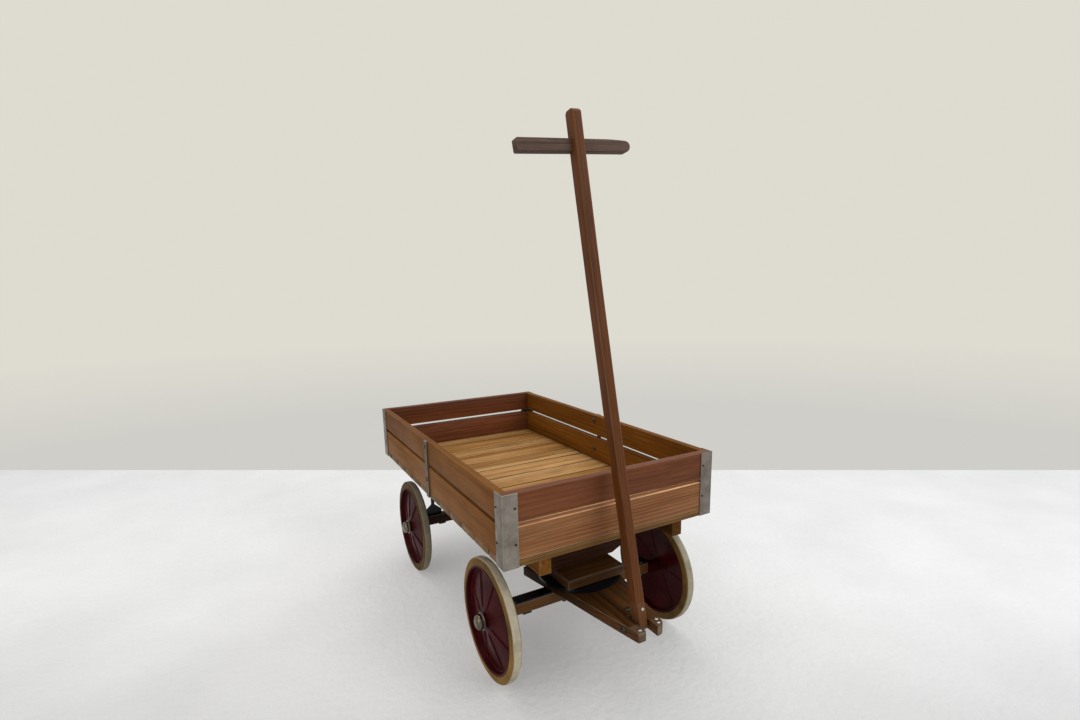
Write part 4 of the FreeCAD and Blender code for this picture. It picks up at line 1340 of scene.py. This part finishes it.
@dataclass
class Wheel:
    """A pressed and ribbed disc and its solid tyre, on one end of a rod."""

    end: str
    side: Side
    tone: float = 0.5
    turned: float = 0.0
    ribs: int = 8
    plain_steps: int = 8
    proud: float = 0.0024
    rib_half: float = math.radians(3.1)
    rib_flat: float = math.radians(1.7)
    foot: float = 0.024
    edge: float = 0.101
    bore: float = 0.0052
    tube: float = 0.014
    tube_in: float = 0.029
    tube_out: float = 0.0168
    lip: float = 0.110
    lip_wear: float = 1.0
    disc_wear: float = 0.12
    tread_from: float = 0.118
    sag: float = 0.0004

    @property
    def name(self) -> str:
        """Give what the names of the wheel's pieces start with."""
        return f"{self.end}_{self.side.name.lower()}"

    def hub(self) -> Vector:
        """Give the middle of the wheel on its axle."""
        low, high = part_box(self.name + "_tyre")
        return (low + high) / 2

    def place(self) -> Matrix:
        """Give the wheel's place: its outside faces away from the wagon."""
        way = Matrix.Rotation(math.pi, 4, "Z") if self.side is Side.LEFT else Matrix.Identity(4)
        return Matrix.Translation(self.hub()) @ way @ Matrix.Rotation(self.turned, 4, "X")

    def build(self) -> None:
        """Build the disc and the tyre."""
        self.disc()
        self.tyre()

    def disc(self) -> None:
        """Press the disc, with a raised rib between every two plain sectors."""
        bore, tube, inward, outward = self.bore, self.tube, -self.tube_in, self.tube_out
        hub = [(inward, bore, 0), (outward, bore, 0), (outward, tube, 0.001),
               (0.0135, tube, 0.001)]
        front = [(0.0125, 0.022, 0), (0.0121, 0.0245, 0), (0.0104, 0.033, 0),
                 (0.0048, 0.066, 0), (-0.0002, 0.0955, 0), (-0.001, 0.1005, 0)]
        rim = [(-0.001, 0.1062, 0.003), (0.0105, 0.1078, 0.002), (0.0116, 0.1118, 0.0009),
               (0.0102, 0.112, 0.0008), (0.0096, 0.1088, 0), (-0.0096, 0.1088, 0),
               (-0.0102, 0.112, 0.0008), (-0.0116, 0.1118, 0.0009), (-0.0108, 0.1066, 0.001)]
        back = [(-0.0034, 0.1062, 0.001), (-0.0034, 0.1005, 0.002), (0.0101, 0.023, 0.004),
                (0.0105, tube, 0), (inward, tube, 0.001)]
        work = Workpiece()
        edges = work.section(hub + front + rim + back, (0, 0, 0))
        loop: list = edges + work.ends(edges)
        sector = math.tau / self.ribs
        plain = sector - 2 * self.rib_half
        bmesh.ops.rotate(work.bm, cent=(0, 0, 0),
                         matrix=Matrix.Rotation(-self.rib_half, 3, "X"), verts=work.bm.verts[:])
        raised = []
        steps = ((self.rib_half - self.rib_flat, 1, True), (2 * self.rib_flat, 1, True),
                 (self.rib_half - self.rib_flat, 1, False), (plain, self.plain_steps, False))
        for _ in range(self.ribs):
            for angle, count, lift in steps:
                made = bmesh.ops.spin(work.bm, geom=loop, cent=(0, 0, 0), axis=(1, 0, 0),
                                      angle=angle, steps=count, use_merge=False)
                loop = made["geom_last"]
                if lift:
                    raised += [v for v in loop if isinstance(v, bmesh.types.BMVert)]
        for v in raised:
            radius = math.hypot(v.co.y, v.co.z)
            if self.foot < radius < self.edge and v.co.x > -0.02:
                share = min(1.0, (radius - self.foot) / 0.008, (self.edge - radius) / 0.005)
                v.co.x += self.proud * max(0.0, share)
        bmesh.ops.remove_doubles(work.bm, verts=work.bm.verts[:], dist=1e-5)
        bmesh.ops.recalc_face_normals(work.bm, faces=work.bm.faces[:])
        for face in work.bm.faces:
            middle = face.calc_center_median()
            at_lip = math.hypot(middle.y, middle.z) > self.lip
            face[work.worn] = self.lip_wear if at_lip else self.disc_wear
        work.finish(self.name + "_disc_steel", MAROON, self.name + "_disc",
                    place=self.place(), smooth=0.35)

    def tyre(self) -> None:
        """Mould the tyre with a crowned tread, upright walls and a narrower foot."""
        half = [(0.0098, 0.1091, 0), (0.0101, 0.1123, 0.0006), (0.0105, 0.1150, 0.002),
                (0.0105, 0.1262, 0.0032), (0.0070, 0.1296, 0.003)]
        crown = [(0.0, 0.13, 0.002)]
        work = Workpiece()
        work.turn(half + crown + [(-x, radius, c) for x, radius, c in reversed(half)], 112)
        for v in work.bm.verts:
            radius = math.hypot(v.co.y, v.co.z)
            if radius > self.tread_from:
                unevenness = noise.noise(v.co * 30 + Vector((self.tone, 0, 0)))
                shrink = self.sag * (0.5 + 0.5 * unevenness)
                v.co.y *= 1 - shrink / radius
                v.co.z *= 1 - shrink / radius
        tread = [min(1.0, max(0.0, (0.0098 - abs(v.co.x)) / 0.003))
                 if math.hypot(v.co.y, v.co.z) > 0.12 else 0.0 for v in work.bm.verts]
        piece = work.finish(self.name + "_tyre_rubber", TYRE, self.name + "_tyre",
                            place=self.place())
        mark(piece, "tread", tread)
        mark(piece, "tone", [self.tone] * len(tread))


@dataclass
class HubCaps:
    """The two flanged and domed caps of one axle."""

    end: str
    high: float = 0.018
    bore: float = 0.0052
    flange: float = 0.019

    def build(self) -> None:
        """Turn both caps and dress them."""
        low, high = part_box(f"{self.end}_hub_caps")
        y, z = (low.y + high.y) / 2, (low.z + high.z) / 2
        work = Workpiece()
        seat = high.x - self.high
        flange = [(0, self.bore, 0), (0, self.flange, 0.0005), (0.0026, self.flange, 0.001)]
        dome = [(0.0034, 0.0160, 0.0008), (0.0110, 0.0163, 0.003), (0.0165, 0.0105, 0.004),
                (self.high, 0.0, 0)]
        inside = [(0.0095, 0.0, 0), (0.0095, self.bore, 0)]
        for side in Side:
            profile = [(side.value * x, radius, c) for x, radius, c in flange + dome + inside]
            work.turn(profile, 48, (side.value * seat, y, z))
        work.finish(f"{self.end}_hub_cap_nickel", NICKEL, f"{self.end}_hub_caps", smooth=0.6)


# ---- the studio ----

@dataclass(frozen=True)
class Lamp:
    """A large soft square lamp."""

    name: str
    at: Point
    size: float
    power: float
    colour: Point


@dataclass
class Studio:
    """The pale floor, the soft lights and the camera."""

    floor_deep: float = 6.0
    floor_wide: float = 18.0
    edge_middle: tuple[float, float] = (0.517, 0.907)
    edge_yaw: float = math.radians(-32.57)
    camera_at: tuple[float, float, float] = (-0.6291, -1.2237, 0.8094)
    yaw: float = math.radians(-29.61)
    dip: float = math.radians(10.72)
    roll: float = math.radians(-0.95)
    lens: float = 18.668
    shift: tuple[float, float] = (-0.01033, 0.03081)
    room_light: float = 0.78
    room_colour: tuple[float, float, float, float] = (0.78, 0.8, 0.84, 1.0)
    backdrop_low: str = "cfcec8"
    backdrop_high: str = "dedbd1"
    grey_from: float = -0.2
    beige_from: float = -0.09
    aim: tuple[float, float, float] = (0, 0, 0.35)
    lamps: tuple[Lamp, ...] = (
        Lamp("key", (1.6, -3.2, 2.6), size=2.6, power=62, colour=(0.95, 0.98, 1.0)),
        Lamp("fill", (-3.2, -0.8, 1.9), size=2.6, power=24, colour=(1.0, 0.93, 0.84)),
        Lamp("top", (0.2, 0.6, 3.4), size=2.8, power=38, colour=(1.0, 0.99, 0.97)))

    def build(self) -> None:
        """Set up the whole studio."""
        self.floor()
        self.world()
        for lamp in self.lamps:
            self.light(lamp)
        self.camera()
        bpy.context.scene.view_settings.view_transform = "Standard"

    def floor(self) -> None:
        """Lay a floor whose far edge stands behind the wagon."""
        bm = bmesh.new()
        depth = bm.verts.layers.float.new("depth")
        made = bmesh.ops.create_grid(bm, x_segments=1, y_segments=1, size=0.5)["verts"]
        bmesh.ops.scale(bm, vec=(self.floor_wide, self.floor_deep, 1), verts=made)
        bmesh.ops.translate(bm, vec=(0, -self.floor_deep / 2, 0), verts=made)
        for vert in made:
            vert[depth] = -vert.co.y
        turn = Matrix.Rotation(self.edge_yaw, 4, "Z")
        place = Matrix.Translation((*self.edge_middle, 0)) @ turn
        bmesh.ops.transform(bm, matrix=place, verts=made)
        mesh = bpy.data.meshes.new(FLOOR.name)
        bm.to_mesh(mesh)
        bm.free()
        floor = bpy.data.objects.new(FLOOR.name, mesh)
        bpy.context.scene.collection.objects.link(floor)
        SHOP.coat(floor, FLOOR)

    def world(self) -> None:
        """Light the room evenly, behind a beige backdrop that is greyer low down."""
        world = bpy.data.worlds.new("studio_room")
        bpy.context.scene.world = world
        world.use_nodes = True
        nodes, links = world.node_tree.nodes, world.node_tree.links
        back = nodes["Background"]
        back.inputs["Strength"].default_value = 1.0
        where = nodes.new("ShaderNodeTexCoord")
        split = nodes.new("ShaderNodeSeparateXYZ")
        ramp = nodes.new("ShaderNodeMapRange")
        blend = nodes.new("ShaderNodeMix")
        blend.data_type = "RGBA"
        blend.inputs[6].default_value = paint(self.backdrop_low)
        blend.inputs[7].default_value = paint(self.backdrop_high)
        ramp.inputs["From Min"].default_value = self.grey_from
        ramp.inputs["From Max"].default_value = self.beige_from
        links.new(where.outputs["Generated"], split.inputs["Vector"])
        links.new(split.outputs["Z"], ramp.inputs["Value"])
        links.new(ramp.outputs["Result"], blend.inputs[0])
        links.new(blend.outputs[2], back.inputs["Color"])
        room = nodes.new("ShaderNodeBackground")
        room.inputs["Color"].default_value = self.room_colour
        room.inputs["Strength"].default_value = self.room_light
        choice = nodes.new("ShaderNodeMixShader")
        seen = nodes.new("ShaderNodeLightPath").outputs["Is Camera Ray"]
        links.new(seen, choice.inputs[0])
        links.new(room.outputs[0], choice.inputs[1])
        links.new(back.outputs[0], choice.inputs[2])
        links.new(choice.outputs[0], nodes["World Output"].inputs["Surface"])

    def light(self, lamp: Lamp) -> None:
        """Hang a lamp that faces the wagon.

        Args:
            lamp: The lamp, with its place in metres and its power in watts.
        """
        light = bpy.data.lights.new(lamp.name, "AREA")
        light.size = lamp.size
        light.energy = lamp.power
        light.color = lamp.colour
        holder = bpy.data.objects.new(lamp.name, light)
        holder.location = lamp.at
        facing = Vector(self.aim) - Vector(lamp.at)
        holder.rotation_euler = facing.to_track_quat("-Z", "Y").to_euler()
        bpy.context.scene.collection.objects.link(holder)

    def camera(self) -> None:
        """Set up the camera."""
        data = bpy.data.cameras.new("camera")
        data.lens = self.lens
        data.sensor_width = 36.0
        data.shift_x, data.shift_y = self.shift
        data.clip_start = 0.05
        holder = bpy.data.objects.new("camera", data)
        holder.matrix_world = (Matrix.Translation(self.camera_at)
                               @ Matrix.Rotation(self.yaw, 4, "Z")
                               @ Matrix.Rotation(math.pi / 2 - self.dip, 4, "X")
                               @ Matrix.Rotation(self.roll, 4, "Z"))
        bpy.context.scene.collection.objects.link(holder)
        bpy.context.scene.camera = holder


def main() -> None:
    """Build every sub-assembly in order."""
    logging.basicConfig(level=logging.INFO, format="%(name)s: %(message)s")
    SHOP.open()
    parts = (CargoBox(), Undercarriage(), Truck(), PullHandle(),
             Wheel("front", Side.LEFT, 1.0, math.radians(30)),
             Wheel("front", Side.RIGHT, 0.8, math.radians(40)),
             Wheel("rear", Side.LEFT, 0.5, math.radians(20)),
             Wheel("rear", Side.RIGHT, 0.6, math.radians(12)),
             HubCaps("front"), HubCaps("rear"), Studio())
    for part in parts:
        part.build()
        LOG.info("built %s", type(part).__name__)


if __name__ == "__main__":
    main()
